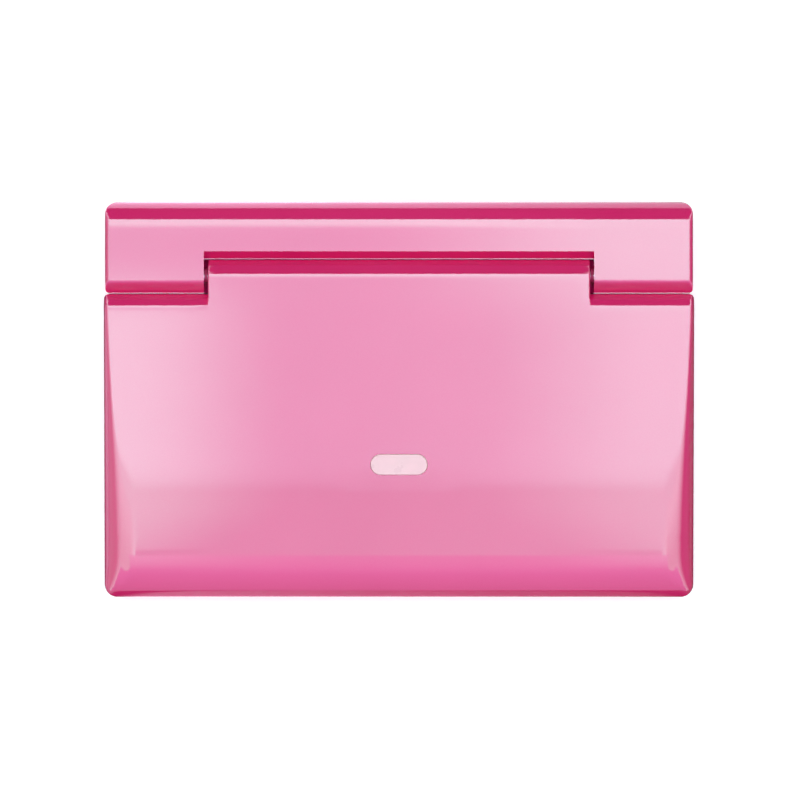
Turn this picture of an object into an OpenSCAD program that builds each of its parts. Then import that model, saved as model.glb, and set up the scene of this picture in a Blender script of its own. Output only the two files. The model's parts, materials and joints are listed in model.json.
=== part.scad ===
// Clamshell handheld game console with two screens, folded shut.
// Millimetres, +Z up, +Y toward the hinge bar. The origin is on the table, under the middle.

/* [Overall] */
// Width of the lid
body_w = 156; // [146:1:172]
// Depth from the lid's front edge to the hinge bar's rear face
body_d = 104.7; // [94:0.1:116]
// Height of the lid from its rim to its top
lid_h = 10.4; // [10:0.1:12]
// How far the hinge bar's top lies below the lid's top
bar_drop = 0.8; // [0.6:0.1:1.3]
// How far the base stands inside the lid's sides and front
side_inset = 0.4; // [0.2:0.1:0.8]
// Wall thickness of the casings
wall_t = 1.6; // [1.3:0.1:1.8]

/* [Lid shape] */
// Plan radius of the lid's front corners
lid_corner_r = 3.5; // [2.5:0.1:6]
// Radius of the lid's rear edge
lid_rear_r = 2.8; // [2:0.1:3.2]
// Depth of the rolled front
roll_d = 13; // [9:0.5:14]
// Radius of the rolled front
roll_r = 16; // [15:0.5:20]
// Radius of the edge under the rolled front
nose_r = 2; // [1.7:0.1:2.6]
// Radius of the lid's side arcs
side_r = 6; // [4:0.5:7]
// How far the side arcs rise above the lid's top at its rear edge
crease_h = 3.2; // [2.6:0.1:3.8]
// Pitch of the side arcs toward the front, degrees
side_pitch = 2.87; // [2:0.1:4]
// Length of the inlay in the lid
badge_w = 15.4; // [8:0.2:24]
// Width of the inlay
badge_d = 5.8; // [3:0.2:9]
// Thickness of the inlay
badge_t = 0.6; // [0.4:0.1:0.8]
// Distance of the inlay's middle from the lid's front edge
badge_y = 35.2; // [25:0.2:60]

/* [Base shape] */
// Plan radius of the base's front corners
base_corner_r = 3.3; // [2.2:0.1:6]
// Plan radius of the hinge bar's rear corners
bar_corner_r = 3.2; // [2.2:0.1:5]
// Radius of the base's bottom edges
bottom_r = 3; // [2:0.1:3.2]
// Radius of the hinge bar's rear top edge
bar_rear_r = 5; // [3:0.1:6]
// Radius of the hinge bar's front top edge
bar_front_r = 3.1; // [2:0.1:4]
// Radius of the hinge bar's side top edges
bar_side_r = 1.2; // [0.6:0.1:2]

/* [Hinge] */
// Depth of the hinge bar
bar_d = 24.1; // [23:0.1:27]
// Gap between the lid's rear edge and the hinge bar
bar_gap = 0.4; // [0.3:0.05:0.8]
// Width of the notch that the lid's hinge arm sits in
notch_w = 103; // [90:1:116]
// Depth of the notch
notch_d = 9.06; // [8.6:0.02:10]
// Radius of the notch's rear top edge
notch_edge_r = 1.8; // [1:0.1:2.4]
// Running gap behind the barrel
notch_gap = 0.43; // [0.3:0.01:0.8]
// Running gap at each end of the barrel
end_gap = 1.1; // [0.9:0.1:1.6]
// Outer radius of the hinge barrel
barrel_r = 3.3; // [3.2:0.1:3.4]
// How far the hinge's axis lies above the barrel's middle
axis_up = 0.9; // [0.8:0.05:1]
// How far the hinge's axis lies in front of the barrel's middle
axis_ahead = 0.8; // [0.7:0.05:1]
// Radius of the hinge pins
pin_r = 1.1; // [0.8:0.05:1.2]
// Wall of the sleeves between pins and barrel
sleeve_t = 0.6; // [0.4:0.05:0.7]
// Length of a pin's grip in the barrel
grip_l = 10.4; // [8:0.1:14]
// Thickness of the ears that hold the pins
ear_t = 4; // [3:0.1:5]
// Thickness of the steel plates on the ears
bracket_t = 1.2; // [0.8:0.1:1.6]

/* [Heights in the base] */
// How far the feet stand out under the case
foot_h = 0.8; // [0.5:0.1:1.2]
// Floor of the bottom case
floor_t = 1.4; // [1.3:0.1:1.8]
// Thickness of the battery
battery_t = 5.4; // [5.2:0.1:6.5]
// Thickness of the main board
board_t = 1; // [0.8:0.1:1.2]
// Room between the board and the deck
stack_h = 2.7; // [2.6:0.1:3.4]
// Thickness of the deck
deck_t = 1.4; // [1.3:0.1:1.8]
// Height of the rim round the deck
rim_h = 1; // [0.8:0.1:1.4]
// Gap between the two rims when the lid is shut
lid_gap = 0.5; // [0.3:0.05:0.8]

/* [Screens] */
// Width of the panel on each side of the lower window
side_panel = 33.6; // [32.5:0.1:44]
// Depth of the strip in front of the lower window
home_strip = 11.5; // [11:0.1:20]
// Depth of the strip behind the lower window
rear_strip = 2.5; // [2:0.1:12]
// Thickness of both windows
window_t = 0.9; // [0.6:0.05:1]
// Ledge that carries a window
ledge_w = 3; // [2:0.2:5]
// Thickness of the display modules
display_t = 2.2; // [1.6:0.1:2.4]
// Width of the strip on each side of the upper window, where the speakers lie
speaker_strip = 17; // [14.5:0.1:26]
// Depth of the strips in front of and behind the upper window
upper_strip = 6.1; // [5:0.1:14]
// Thickness of the lid's inner frame
bezel_t = 1.5; // [1.3:0.1:2]

/* [Controls] */
// Distance of the control columns from the base's sides
column_x = 16.6; // [16.5:0.1:17]
// Radius of the thumb pad's cap
pad_r = 7.8; // [6:0.1:8]
// Travel of the thumb pad each way
pad_travel = 2.2; // [1.5:0.1:2.3]
// Span of the direction pad
dpad_w = 21; // [18:0.5:22]
// Width of one arm of the direction pad
dpad_arm = 7; // [5:0.2:8]
// Greatest tilt of the direction pad, degrees
dpad_tilt = 3.5; // [2:0.5:3.5]
// Radius of the four face buttons
button_r = 4.2; // [3:0.1:4.4]
// Distance of a face button from their common middle
button_ring = 8.6; // [8.2:0.1:9.2]
// Travel of every push button on the deck
button_travel = 0.9; // [0.5:0.1:1]
// How far the push buttons stand out of the deck
button_out = 0.9; // [0.4:0.1:1]
// Width of the start and select buttons
pill_w = 8.4; // [6:0.2:10]
// Width of the home button
home_w = 12; // [8:0.5:18]
// Depth of the pill-shaped buttons
pill_d = 4.2; // [3:0.1:4.4]
// Length of a shoulder button along the rear
shoulder_w = 31; // [28:0.5:34]
// Height of a shoulder button
shoulder_h = 7.4; // [6:0.1:8]
// Reach of a shoulder button round the corner
shoulder_d = 8.4; // [7:0.1:9]
// Turn of a shoulder button when pressed, degrees
shoulder_turn = 4; // [2:0.5:4]
// Travel of the volume slider each way
volume_travel = 4; // [2:0.5:5]

/* [Inside] */
// Width of the battery
battery_w = 66; // [50:1:70]
// Depth of the battery
battery_d = 38; // [30:1:40]
// Width of a game card
card_w = 33; // [28:1:36]
// Thickness of a game card
card_t = 3.3; // [2.5:0.1:3.6]
// Width of a memory card
memory_w = 24; // [20:0.5:25]
// Thickness of a memory card
memory_t = 2.1; // [1.2:0.1:2.2]
// Radius of the stylus
stylus_r = 2; // [1.6:0.1:2.1]
// Length of the stylus
stylus_l = 82; // [60:1:90]
// Radius of the headphone socket's bore
jack_r = 1.8; // [1.3:0.05:1.85]
// Depth of the headphone socket
jack_l = 13; // [10:0.5:15]

/* [Fasteners] */
// Radius of the screws' shanks
screw_r = 1; // [0.8:0.1:1.1]
// Radius of the screws' heads
head_r = 1.9; // [1.6:0.1:2]
// Height of the screws' heads
head_h = 1.2; // [0.8:0.1:1.3]
// Radius of the rubber feet
foot_r = 4; // [3:0.2:5]

/* [Clearances] */
// Radial clearance of pins that turn
fit = 0.04; // [0.02:0.01:0.06]
// Gap between pieces that are assembled face to face
seat = 0.05; // [0.02:0.01:0.08]
// Gap round pieces that slide
slide_gap = 0.2; // [0.15:0.05:0.25]

/* [Hidden] */
$fn = 48;

pink = [0.93, 0.45, 0.66];
pale = [0.93, 0.90, 0.92];
dark = [0.13, 0.13, 0.15];
black = [0.03, 0.03, 0.04];
steel = [0.72, 0.73, 0.75];
board_green = [0.10, 0.32, 0.22];
rubber = [0.18, 0.18, 0.19];

// Heights, from the table up.
case_z = foot_h;
floor_z = case_z + floor_t;
battery_z = floor_z + 2 * seat;
board_z = battery_z + battery_t + 0.3;
split_z = board_z + board_t;
deck_z = split_z + stack_h;
deck_top = deck_z + deck_t;
rim_z = deck_top + rim_h;
lid_z = rim_z + lid_gap;
lid_top = lid_z + lid_h;
bar_top = lid_top - bar_drop;
on_board = split_z + seat;
under_board = board_z - seat;

// Widths and depths.
half_w = body_w / 2;
base_half = half_w - side_inset;
front = -body_d / 2;
rear = body_d / 2;
base_front = front + side_inset;
bar_front = rear - bar_d;
lid_rear = bar_front - bar_gap;
deck_rear = bar_front - 0.1;
far = body_w;
rim_w = wall_t;

// The hinge's axis runs along X.
notch_half = notch_w / 2;
notch_rear = bar_front + notch_d;
barrel_y = notch_rear - notch_gap - barrel_r;
barrel_z = lid_top - barrel_r;
axis_y = barrel_y - axis_ahead;
axis_z = barrel_z + axis_up;
trough_z = barrel_z - barrel_r - 1;
tab_half = notch_half - end_gap;
sleeve_r = pin_r + fit + sleeve_t;
grip_x = tab_half - grip_l;
ear_x = notch_half + ear_t;
plate_x = ear_x + bracket_t + seat;
plate_y = axis_y - 2.8;
plate_top = axis_z + 0.3;

// The controls stand in two columns, spread between the front and the rear screws of the deck.
column = base_half - column_x;
screw_front_y = base_front + 14;
screw_rear_y = deck_rear - 4.1;
function spread(share) = screw_front_y + share * (screw_rear_y - screw_front_y);
pad_y = spread(0.742);
dpad_y = spread(0.274);
ring_y = spread(0.71);
select_y = spread(0.339);
start_y = spread(0.178);
home_y = base_front + rim_w + 5;
flange_t = 0.6;
flange_out = 0.8;
flange_z = deck_z - slide_gap - flange_t;
stem_z = flange_z - button_travel;
stem_r = 1.7;
sheet_t = 0.35;
button_top = deck_top + button_out;
buttons = [[0, 1], [1, 0], [0, -1], [-1, 0]];

// The thumb pad's frame, from the board up.
pad_hole_r = pad_r + 1.415 * pad_travel + 1.1;
pad_floor = 0.6;
pad_plate_z = on_board + pad_floor + 0.1;
pad_plate_t = 0.6;
pad_foot_z = pad_plate_z + pad_plate_t + 0.1;
pad_foot = 6.8;
pad_cavity = pad_foot + pad_travel + 0.3;
pad_frame = pad_cavity + 1.5;
pad_roof_z = pad_foot_z + pad_plate_t + 0.1;
pad_stem_r = 2;
pad_stem_hole = pad_stem_r + 1.415 * pad_travel + 0.3;
pad_dish_top = deck_top - 0.8;
pad_cap_z = pad_dish_top + 0.3;

// The direction pad tilts on a small cross of pins.
pivot_z = on_board + 1.2;
hub_w = 1.9;
hub_h = 1.6;
dpad_flange_r = 9.6;
dpad_z = pivot_z + 0.15;
dpad_top = deck_top + 0.8;
dpad_gap = (dpad_top - pivot_z) * sin(dpad_tilt) + 0.28;
cross_r = 0.5;
cross_l = 2.4;

// Screens.
lower_w = 2 * (base_half - side_panel);
lower_y0 = base_front + home_strip;
lower_y1 = deck_rear - rear_strip;
upper_w = 2 * (half_w - speaker_strip);
upper_d = lid_rear - front - 2 * upper_strip;
bezel_z = lid_z + 0.3;
bezel_top = bezel_z + bezel_t;
lid_mid_y = (front + lid_rear) / 2;
upper_y = lid_mid_y;

// Shoulder buttons.
shoulder_x = base_half - shoulder_w;
shoulder_y = rear - shoulder_d;
board_tongue = shoulder_x - 2.4;
shoulder_z = split_z + 0.25;
shoulder_top = shoulder_z + shoulder_h;
shoulder_pivot = [shoulder_x + 2.3, rear - 4.9];
shoulder_pin_r = 1;
shoulder_sweep = (base_half - shoulder_pivot[0]) * sin(shoulder_turn) + 0.4;
spring_room = 3;
spring_wire = 0.25;
switch_x = base_half - 9.6;
arm_y = rear - 6;
switch_y = arm_y - (switch_x - shoulder_pivot[0]) * sin(shoulder_turn) - 0.15;

// Under the board.
card_y = rear - wall_t - seat - 31;
stylus_y = base_front + wall_t + 4.3;
battery_y = (stylus_y + card_y) / 2;
stylus_z = case_z + 4.5;
jack_x = -column + 20;
jack_z = stylus_z;
side_room = volume_travel + 5;
memory_z = under_board - memory_t - 0.9;
flap_r = 0.55;
flap_w = memory_w + 4;
flap_z = split_z - 0.45;
hinge_z = case_z + bottom_r + 0.2 + flap_r;
volume_z = case_z + 5.2;
knob_d = 5;
power_x = base_half - wall_t;
power_r = 1.2;
port_x = 34;
port_w = 9;
port_h = 3.2;

// Screws: [x, y] of the right-hand one of each pair.
deck_screws = [[base_half - 7.1, screw_front_y], [base_half - 7.1, screw_rear_y]];
bar_screws = [[(plate_x + base_half) / 2, bar_front + 5.8]];
lid_screws_at = [[half_w - 6.6, front + 7.4], [half_w - 6.6, lid_rear - 6.4]];
cover_screw_x = battery_w / 2 + 5.4;
chip_x = (battery_w / 2 + column) / 2 - 1;
boss_r = 2.6;
side_y = screw_rear_y - boss_r - 0.5 - side_room;
memory_y = screw_front_y + boss_r + 1.4 + memory_w / 2;
screw_seat = case_z + 1.8;
feet_at = [[base_half - 11.6, base_front + 8], [base_half - 11.6, rear - 8.4]];
speaker_x = half_w - wall_t - (speaker_strip - wall_t) / 2;

// ---- Helpers ----

// What is cut off a square corner to leave a round one.
module corner(r) {
  difference() {
    translate([-1, -1]) square(r + 1);
    translate([r, r]) circle(r);
  }
}

// A rectangle with its own radius at each corner, from the lower left one, anticlockwise.
module plate(x0, y0, x1, y1, r = [0, 0, 0, 0]) {
  difference() {
    translate([x0, y0]) square([x1 - x0, y1 - y0]);
    if (r[0] > 0) translate([x0, y0]) corner(r[0]);
    if (r[1] > 0) translate([x1, y0]) mirror([1, 0]) corner(r[1]);
    if (r[2] > 0) translate([x1, y1]) mirror([1, 0]) mirror([0, 1]) corner(r[2]);
    if (r[3] > 0) translate([x0, y1]) mirror([0, 1]) corner(r[3]);
  }
}

module pill(w, d) {
  square([w - d, d], center = true);
  for (side = [-1, 1]) translate([side * (w - d) / 2, 0]) circle(d / 2);
}

// Outlines drawn in Y and Z, in X and Z, and in X and Y, given their length.
module along_x(x0, x1) {
  translate([x0, 0, 0]) rotate([90, 0, 90]) linear_extrude(x1 - x0) children();
}
module along_y(y0, y1) {
  translate([0, y1, 0]) rotate([90, 0, 0]) linear_extrude(y1 - y0) children();
}
module along_z(z0, z1) {
  translate([0, 0, z0]) linear_extrude(z1 - z0) children();
}

module rod_x(x0, x1, y, z, r) {
  translate([x0, y, z]) rotate([0, 90, 0]) cylinder(h = x1 - x0, r = r);
}
module rod_y(y0, y1, x, z, r) {
  translate([x, y1, z]) rotate([90, 0, 0]) cylinder(h = y1 - y0, r = r);
}
module rod_z(z0, z1, x, y, r) {
  translate([x, y, z0]) cylinder(h = z1 - z0, r = r);
}
module block(x0, x1, y0, y1, z0, z1) {
  translate([x0, y0, z0]) cube([x1 - x0, y1 - y0, z1 - z0]);
}

module pair() {
  children();
  mirror([1, 0, 0]) children();
}

// A thin strip that follows the points, drawn as an outline.
module strip(points, t) {
  last = len(points) - 1;
  polygon(concat(points, [for (i = [last : -1 : 0]) points[i] + [0, t]]));
}

// ---- Outer forms, each inset by t ----

function inside(r, t) = max(r - t, 0);

module lid_form(t, low) {
  top = lid_top - t;
  roll = [front + roll_d, lid_top - roll_r];
  nose = [front + nose_r, roll[1] + sqrt(pow(roll_r - nose_r, 2) - pow(roll_d - nose_r, 2))];
  outward = (nose - roll) / (roll_r - nose_r);
  intersection() {
    along_z(low, lid_top + 1)
      plate(-half_w + t, front + t, half_w - t, lid_rear - t,
        [inside(lid_corner_r, t), inside(lid_corner_r, t), inside(1.2, t), inside(1.2, t)]);
    along_x(-far, far) difference() {
      plate(front + t, low, lid_rear - t, top, [0, 0, inside(lid_rear_r, t), 0]);
      difference() {
        translate([front - 1, roll[1]]) square([roll_d + 1, roll_r + 1]);
        translate(roll) circle(roll_r - t);
      }
      if (nose_r > t) difference() {
        polygon([nose, [front - 1, nose[1]], [front - 1, top], nose + outward * (nose_r - t + 1)]);
        translate(nose) circle(nose_r - t);
      }
    }
    translate([0, lid_rear, lid_top + crease_h]) rotate([side_pitch, 0, 0]) along_y(-2 * body_d, body_d)
      plate(-half_w + t, -3 * lid_h, half_w - t, -t, [0, 0, side_r - t, side_r - t]);
  }
}

module base_form(t, low, high) {
  intersection() {
    along_z(low, high)
      plate(-base_half + t, base_front + t, base_half - t, rear - t,
        [inside(base_corner_r, t), inside(base_corner_r, t),
          inside(bar_corner_r, t), inside(bar_corner_r, t)]);
    along_x(-far, far)
      plate(base_front + t, low, rear - t, high + 1, [inside(bottom_r, t), inside(bottom_r, t), 0, 0]);
    along_y(-far, far)
      plate(-base_half + t, low, base_half - t, high + 1, [inside(bottom_r, t), inside(bottom_r, t), 0, 0]);
  }
}

module bar_form(t, low) {
  intersection() {
    along_z(low, bar_top + 1)
      plate(-base_half + t, bar_front + t, base_half - t, rear - t,
        [0, 0, inside(bar_corner_r, t), inside(bar_corner_r, t)]);
    along_x(-far, far)
      plate(bar_front + t, low, rear - t, bar_top - t, [0, 0, inside(bar_rear_r, t), inside(bar_front_r, t)]);
    along_y(-far, far)
      plate(-base_half + t, low, base_half - t, bar_top - t,
        [0, 0, inside(bar_side_r, t), inside(bar_side_r, t)]);
  }
}

// ---- Lid ----

module lid_tab() {
  along_x(-tab_half, tab_half) {
    plate(lid_rear - 6, barrel_z - barrel_r, barrel_y, lid_top);
    translate([barrel_y, barrel_z]) circle(barrel_r);
  }
}

module lid_shell() {
  flex_x = grip_x - 12;
  color(pink) difference() {
    union() {
      difference() {
        union() {
          lid_form(0, lid_z);
          lid_tab();
        }
        lid_form(wall_t, lid_z - 1);
      }
      intersection() {
        lid_form(wall_t / 2, lid_z);
        pair() for (p = lid_screws_at) rod_z(bezel_top + seat, lid_top, p[0], p[1], boss_r);
      }
    }
    pair() for (p = lid_screws_at) rod_z(bezel_top, lid_top - wall_t - 1.6, p[0], p[1], screw_r + 0.02);
    pair() rod_x(grip_x, tab_half + 1, axis_y, axis_z, sleeve_r + 0.02);
    // The way of the flex from the barrel into the lid.
    rod_x(-grip_x - 1, -flex_x, axis_y, axis_z, sleeve_r + 0.02);
    block(-grip_x, -flex_x, lid_rear - wall_t - 1, axis_y, axis_z - 1.4, axis_z + 1.4);
    translate([0, front + badge_y, lid_top - badge_t]) linear_extrude(2)
      pill(badge_w + 2 * seat, badge_d + 2 * seat);
  }
}

module lid_badge() {
  color(pale) translate([0, front + badge_y, lid_top - badge_t + 0.01]) linear_extrude(badge_t - 0.01)
    pill(badge_w, badge_d);
}

module lid_bezel() {
  edge = wall_t + 0.15;
  grille_pitch = 2.4;
  color(pale) difference() {
    along_z(bezel_z, bezel_top)
      plate(-half_w + edge, front + edge, half_w - edge, lid_rear - edge,
        [lid_corner_r - edge, lid_corner_r - edge, 0.5, 0.5]);
    along_z(bezel_z - 1, bezel_z + window_t + seat)
      plate(-upper_w / 2 - 0.1, upper_y - upper_d / 2 - 0.1, upper_w / 2 + 0.1, upper_y + upper_d / 2 + 0.1,
        [2, 2, 2, 2]);
    block(-upper_w / 2 + ledge_w, upper_w / 2 - ledge_w, upper_y - upper_d / 2 + ledge_w,
      upper_y + upper_d / 2 - ledge_w, bezel_z - 1, bezel_top + 1);
    pair() for (p = lid_screws_at) {
      rod_z(bezel_z - 1, bezel_z + 0.7, p[0], p[1], head_r + 0.3);
      rod_z(bezel_z - 1, bezel_top + 1, p[0], p[1], screw_r + 0.1);
    }
    pair() for (i = [-1 : 1], j = [-2 : 2])
      rod_z(bezel_z - 1, bezel_top + 1, speaker_x + i * grille_pitch, upper_y + j * grille_pitch, 0.6);
  }
}

module upper_window() {
  color(black) along_z(bezel_z, bezel_z + window_t)
    plate(-upper_w / 2, upper_y - upper_d / 2, upper_w / 2, upper_y + upper_d / 2, [2, 2, 2, 2]);
}

module upper_display() {
  color(dark) block(-upper_w / 2 + 2, upper_w / 2 - 2, upper_y - upper_d / 2 + 2, upper_y + upper_d / 2 - 2,
    bezel_top + seat, bezel_top + seat + display_t);
}

module speaker() {
  color(dark) {
    along_z(bezel_top + seat, bezel_top + 2.2) translate([speaker_x, upper_y]) plate(-5, -8.5, 5, 8.5, [2, 2, 2, 2]);
    along_z(bezel_top + 2.2, bezel_top + 3.2) translate([speaker_x, upper_y]) plate(-4, -6.5, 4, 6.5, [2, 2, 2, 2]);
  }
}

module speaker_right() {
  speaker();
}

module speaker_left() {
  mirror([1, 0, 0]) speaker();
}

module lid_screws() {
  color(steel) pair() for (p = lid_screws_at) {
    rod_z(bezel_z + 0.1, bezel_z + 0.7, p[0], p[1], head_r);
    rod_z(bezel_z + 0.6, bezel_top + 4, p[0], p[1], screw_r);
  }
}

// Rubber stops that also cover the lid's screws.
module lid_bumpers() {
  color(rubber) pair() for (p = lid_screws_at) translate([p[0], p[1], deck_top + seat])
    cylinder(h = bezel_z - deck_top - seat - 0.01, r1 = head_r - 0.2, r2 = head_r + 0.6);
}

module lid_magnet() {
  color(steel) block(half_w / 2 - 3, half_w / 2 + 3, front + wall_t + 0.5, front + wall_t + 3.4,
    bezel_top + seat, bezel_top + 1.6);
}

module display_flex() {
  flat_z = bezel_top + 2 * seat + display_t;
  color([0.75, 0.45, 0.15]) {
    along_x(-grip_x + 0.4, -grip_x + 11.6)
      strip([[upper_y, flat_z], [lid_rear - 6, flat_z], [lid_rear - 1, axis_z - 0.9], [axis_y, axis_z - 0.9]], 0.25);
    difference() {
      rod_x(-plate_x - 1.2, -grip_x + 11.6, axis_y, axis_z, pin_r - 0.55);
      rod_x(-plate_x - 2, -grip_x + 12, axis_y, axis_z, pin_r - 0.85);
    }
  }
}

// ---- Hinge ----

module hinge_sleeve() {
  color(steel) difference() {
    rod_x(grip_x + 0.2, tab_half, axis_y, axis_z, sleeve_r);
    rod_x(grip_x, tab_half + 1, axis_y, axis_z, pin_r + fit);
  }
}

module hinge_sleeve_right() {
  hinge_sleeve();
}

module hinge_sleeve_left() {
  mirror([1, 0, 0]) hinge_sleeve();
}

module hinge_pin_right() {
  color(steel) rod_x(grip_x + 0.3, plate_x, axis_y, axis_z, pin_r);
}

module hinge_tube_left() {
  color(steel) difference() {
    rod_x(-plate_x, -grip_x - 0.3, axis_y, axis_z, pin_r);
    rod_x(-plate_x - 1, -grip_x, axis_y, axis_z, pin_r - 0.35);
  }
}

module bracket_holes(x0, x1, r) {
  for (dy = [-1.2, 4.2]) rod_x(x0, x1, axis_y + dy, axis_z - 3.9, r);
}

// A steel plate that steadies the pin from below.
module hinge_bracket() {
  color(steel) difference() {
    along_x(ear_x + seat, plate_x)
      plate(plate_y, axis_z - 5.4, plate_y + 8.8, plate_top, [1, 1, 0.6, 0.6]);
    rod_x(ear_x - 1, plate_x + 1, axis_y, axis_z, pin_r + 0.02);
    block(ear_x - 1, plate_x + 1, axis_y - pin_r - 0.02, axis_y + pin_r + 0.02, axis_z, axis_z + 3);
    bracket_holes(ear_x - 1, plate_x + 1, 0.85);
  }
}

module hinge_bracket_right() {
  hinge_bracket();
}

module hinge_bracket_left() {
  mirror([1, 0, 0]) hinge_bracket();
}

module bracket_screws() {
  color(steel) pair() {
    bracket_holes(ear_x - 2.4, plate_x + 0.1, 0.8);
    bracket_holes(plate_x + 0.02, plate_x + 0.7, 1.4);
  }
}

module hinge_washers() {
  color(pale) pair() difference() {
    rod_x(tab_half + 0.1, notch_half - 0.1, axis_y, axis_z, pin_r + 0.8);
    rod_x(tab_half, notch_half, axis_y, axis_z, pin_r + fit);
  }
}

module hinge_flex() {
  x = -plate_x - 1.7;
  foot = -board_tongue + 3;
  color([0.75, 0.45, 0.15]) along_y(axis_y - 2.6, axis_y + 3)
    polygon([[x, axis_z - 0.2], [x, split_z + 1], [x + 3, on_board + 0.2], [foot, on_board],
      [foot, on_board + 0.3], [x + 3.3, on_board + 0.5], [x + 0.3, split_z + 1.2], [x + 0.3, axis_z - 0.2]]);
}

// ---- Casings of the base ----

module case_bosses(points, z0, z1, r) {
  pair() for (p = points) rod_z(z0, z1, p[0], p[1], r);
}

module bottom_case() {
  bay = 0.4;
  bay_x = battery_w / 2 + bay;
  bay_y = battery_d / 2 + bay;
  silo_x = base_half - stylus_l - 1.2;
  screws = concat(deck_screws, bar_screws);
  color(pink) difference() {
    union() {
      difference() {
        base_form(0, case_z, split_z);
        base_form(wall_t, floor_z, split_z + 1);
      }
      intersection() {
        base_form(wall_t / 2, case_z, split_z);
        union() {
          case_bosses(deck_screws, floor_z - 0.5, under_board, boss_r + 0.2);
          case_bosses(bar_screws, floor_z - 0.5, split_z, boss_r + 0.2);
          // Posts under the shoulder buttons' pins and switches.
          case_bosses([shoulder_pivot], floor_z - 0.5, split_z, 2.2);
          pair() block(switch_x - 4, switch_x + 4, switch_y - 4, switch_y - 0.6, floor_z - 0.5, split_z);
          // Walls of the battery bay.
          difference() {
            block(-bay_x - 1, bay_x + 1, battery_y - bay_y - 1, battery_y + bay_y + 1, floor_z - 0.5, board_z - 0.3);
            block(-bay_x, bay_x, battery_y - bay_y, battery_y + bay_y, floor_z - 1, board_z);
          }
          case_bosses([[cover_screw_x, battery_y]], floor_z - 0.5, floor_z + 2.4, boss_r - 0.4);
          // The stylus lies in a block along the front.
          block(silo_x - 1, base_half - wall_t / 2, stylus_y - stylus_r - 1.1, stylus_y + stylus_r + 1.1,
            floor_z - 0.5, under_board);
          // Thicker wall behind the volume slider.
          block(-base_half + 0.5, -base_half + wall_t + 1.2, side_y - side_room, side_y + side_room,
            floor_z - 0.5, under_board);
        }
      }
    }
    // Battery opening, with a ledge for its cover.
    block(-bay_x - 2, bay_x + 2, battery_y - bay_y - 2, battery_y + bay_y + 2, case_z - 1, case_z + 1);
    block(-cover_screw_x - 3.4, cover_screw_x + 3.4, battery_y - 5, battery_y + 5, case_z - 1, case_z + 1);
    block(-bay_x, bay_x, battery_y - bay_y, battery_y + bay_y, case_z - 1, floor_z + 1);
    case_bosses([[cover_screw_x, battery_y]], case_z, floor_z + 1.6, 0.82);
    case_bosses(screws, case_z - 1, screw_seat, head_r + 0.3);
    case_bosses(screws, case_z, split_z + 1, screw_r + 0.1);
    case_bosses(feet_at, case_z - 1, case_z + 0.4, foot_r + 0.1);
    case_bosses([shoulder_pivot], split_z - 2, split_z + 1, shoulder_pin_r + 0.02);
    rod_x(silo_x, base_half + 1, stylus_y, stylus_z, stylus_r + slide_gap);
    // Headphone socket's collar.
    rod_y(base_front - 1, base_front + wall_t + 1, jack_x, jack_z, jack_r + 0.7);
    // Game card slot.
    block(-card_w / 2 - 0.3, card_w / 2 + 0.3, rear - wall_t - 1, rear + 1, under_board - 0.8 - card_t - 0.3,
      under_board - 0.8);
    // Memory card flap with its two pin holes.
    block(-base_half - 1, -base_half + wall_t + 1, memory_y - flap_w / 2 - 0.1, memory_y + flap_w / 2 + 0.1,
      hinge_z - flap_r - 0.15, flap_z + 0.1);
    rod_y(memory_y - flap_w / 2 - 1.1, memory_y + flap_w / 2 + 1.1, -base_half + flap_r, hinge_z, 0.32 + fit);
    // Volume slider's pocket and slot.
    block(-base_half - 1, -base_half + 1, side_y - volume_travel - knob_d / 2 - 0.5,
      side_y + volume_travel + knob_d / 2 + 0.5, volume_z - 1.8, volume_z + 1.8);
    block(-base_half - 1, -base_half + wall_t + 2, side_y - volume_travel - 1.3, side_y + volume_travel + 1.3,
      volume_z - 0.8, volume_z + 0.8);
    // Power button.
    translate([0, side_y, volume_z]) rotate([90, 0, 90]) translate([0, 0, power_x - 1])
      linear_extrude(wall_t + 2) pill(6.3, 2 * power_r + 0.3);
  }
}

module shoulder_region(gap) {
  block(shoulder_x - gap, far, shoulder_y - (gap > 0 ? shoulder_sweep : 0), far, shoulder_z - 1 + (gap > 0 ? 0 : 1),
    shoulder_top + gap);
}

module control_deck() {
  tap = screw_r + 0.02;
  color(pale) difference() {
    union() {
      difference() {
        intersection() {
          base_form(0, case_z, rim_z);
          block(-far, far, -far, deck_rear, split_z, rim_z);
        }
        base_form(wall_t, case_z - bottom_r, deck_z);
        intersection() {
          base_form(rim_w, case_z, rim_z + 1);
          block(-far, far, -far, deck_rear - rim_w, deck_top, rim_z + 1);
        }
      }
      case_bosses(deck_screws, board_z + seat, deck_z + 0.1, boss_r);
    }
    case_bosses(deck_screws, board_z - 1, deck_z + 0.6, tap);
    // Lower window, its ledge and the display's opening.
    along_z(deck_top - window_t - seat, rim_z)
      plate(-lower_w / 2 - 0.1, lower_y0 - 0.1, lower_w / 2 + 0.1, lower_y1 + 0.1, [1.5, 1.5, 1.5, 1.5]);
    block(-lower_w / 2 + ledge_w, lower_w / 2 - ledge_w, lower_y0 + ledge_w, lower_y1 - ledge_w, deck_z - 1, rim_z);
    rod_z(deck_z - 1, rim_z, -column, pad_y, pad_hole_r);
    translate([-column, dpad_y, deck_z - 1]) linear_extrude(deck_t + 2) {
      square([dpad_w + 2 * dpad_gap, dpad_arm + 2 * dpad_gap], center = true);
      square([dpad_arm + 2 * dpad_gap, dpad_w + 2 * dpad_gap], center = true);
    }
    for (p = buttons)
      rod_z(deck_z - 1, rim_z, column + button_ring * p[0], ring_y + button_ring * p[1], button_r + slide_gap);
    for (p = [[column, select_y, pill_w], [column, start_y, pill_w], [0, home_y, home_w]])
      translate([p[0], p[1], deck_z - 1]) linear_extrude(deck_t + 2)
        pill(p[2] + 2 * slide_gap, pill_d + 2 * slide_gap);
  }
}

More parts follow.
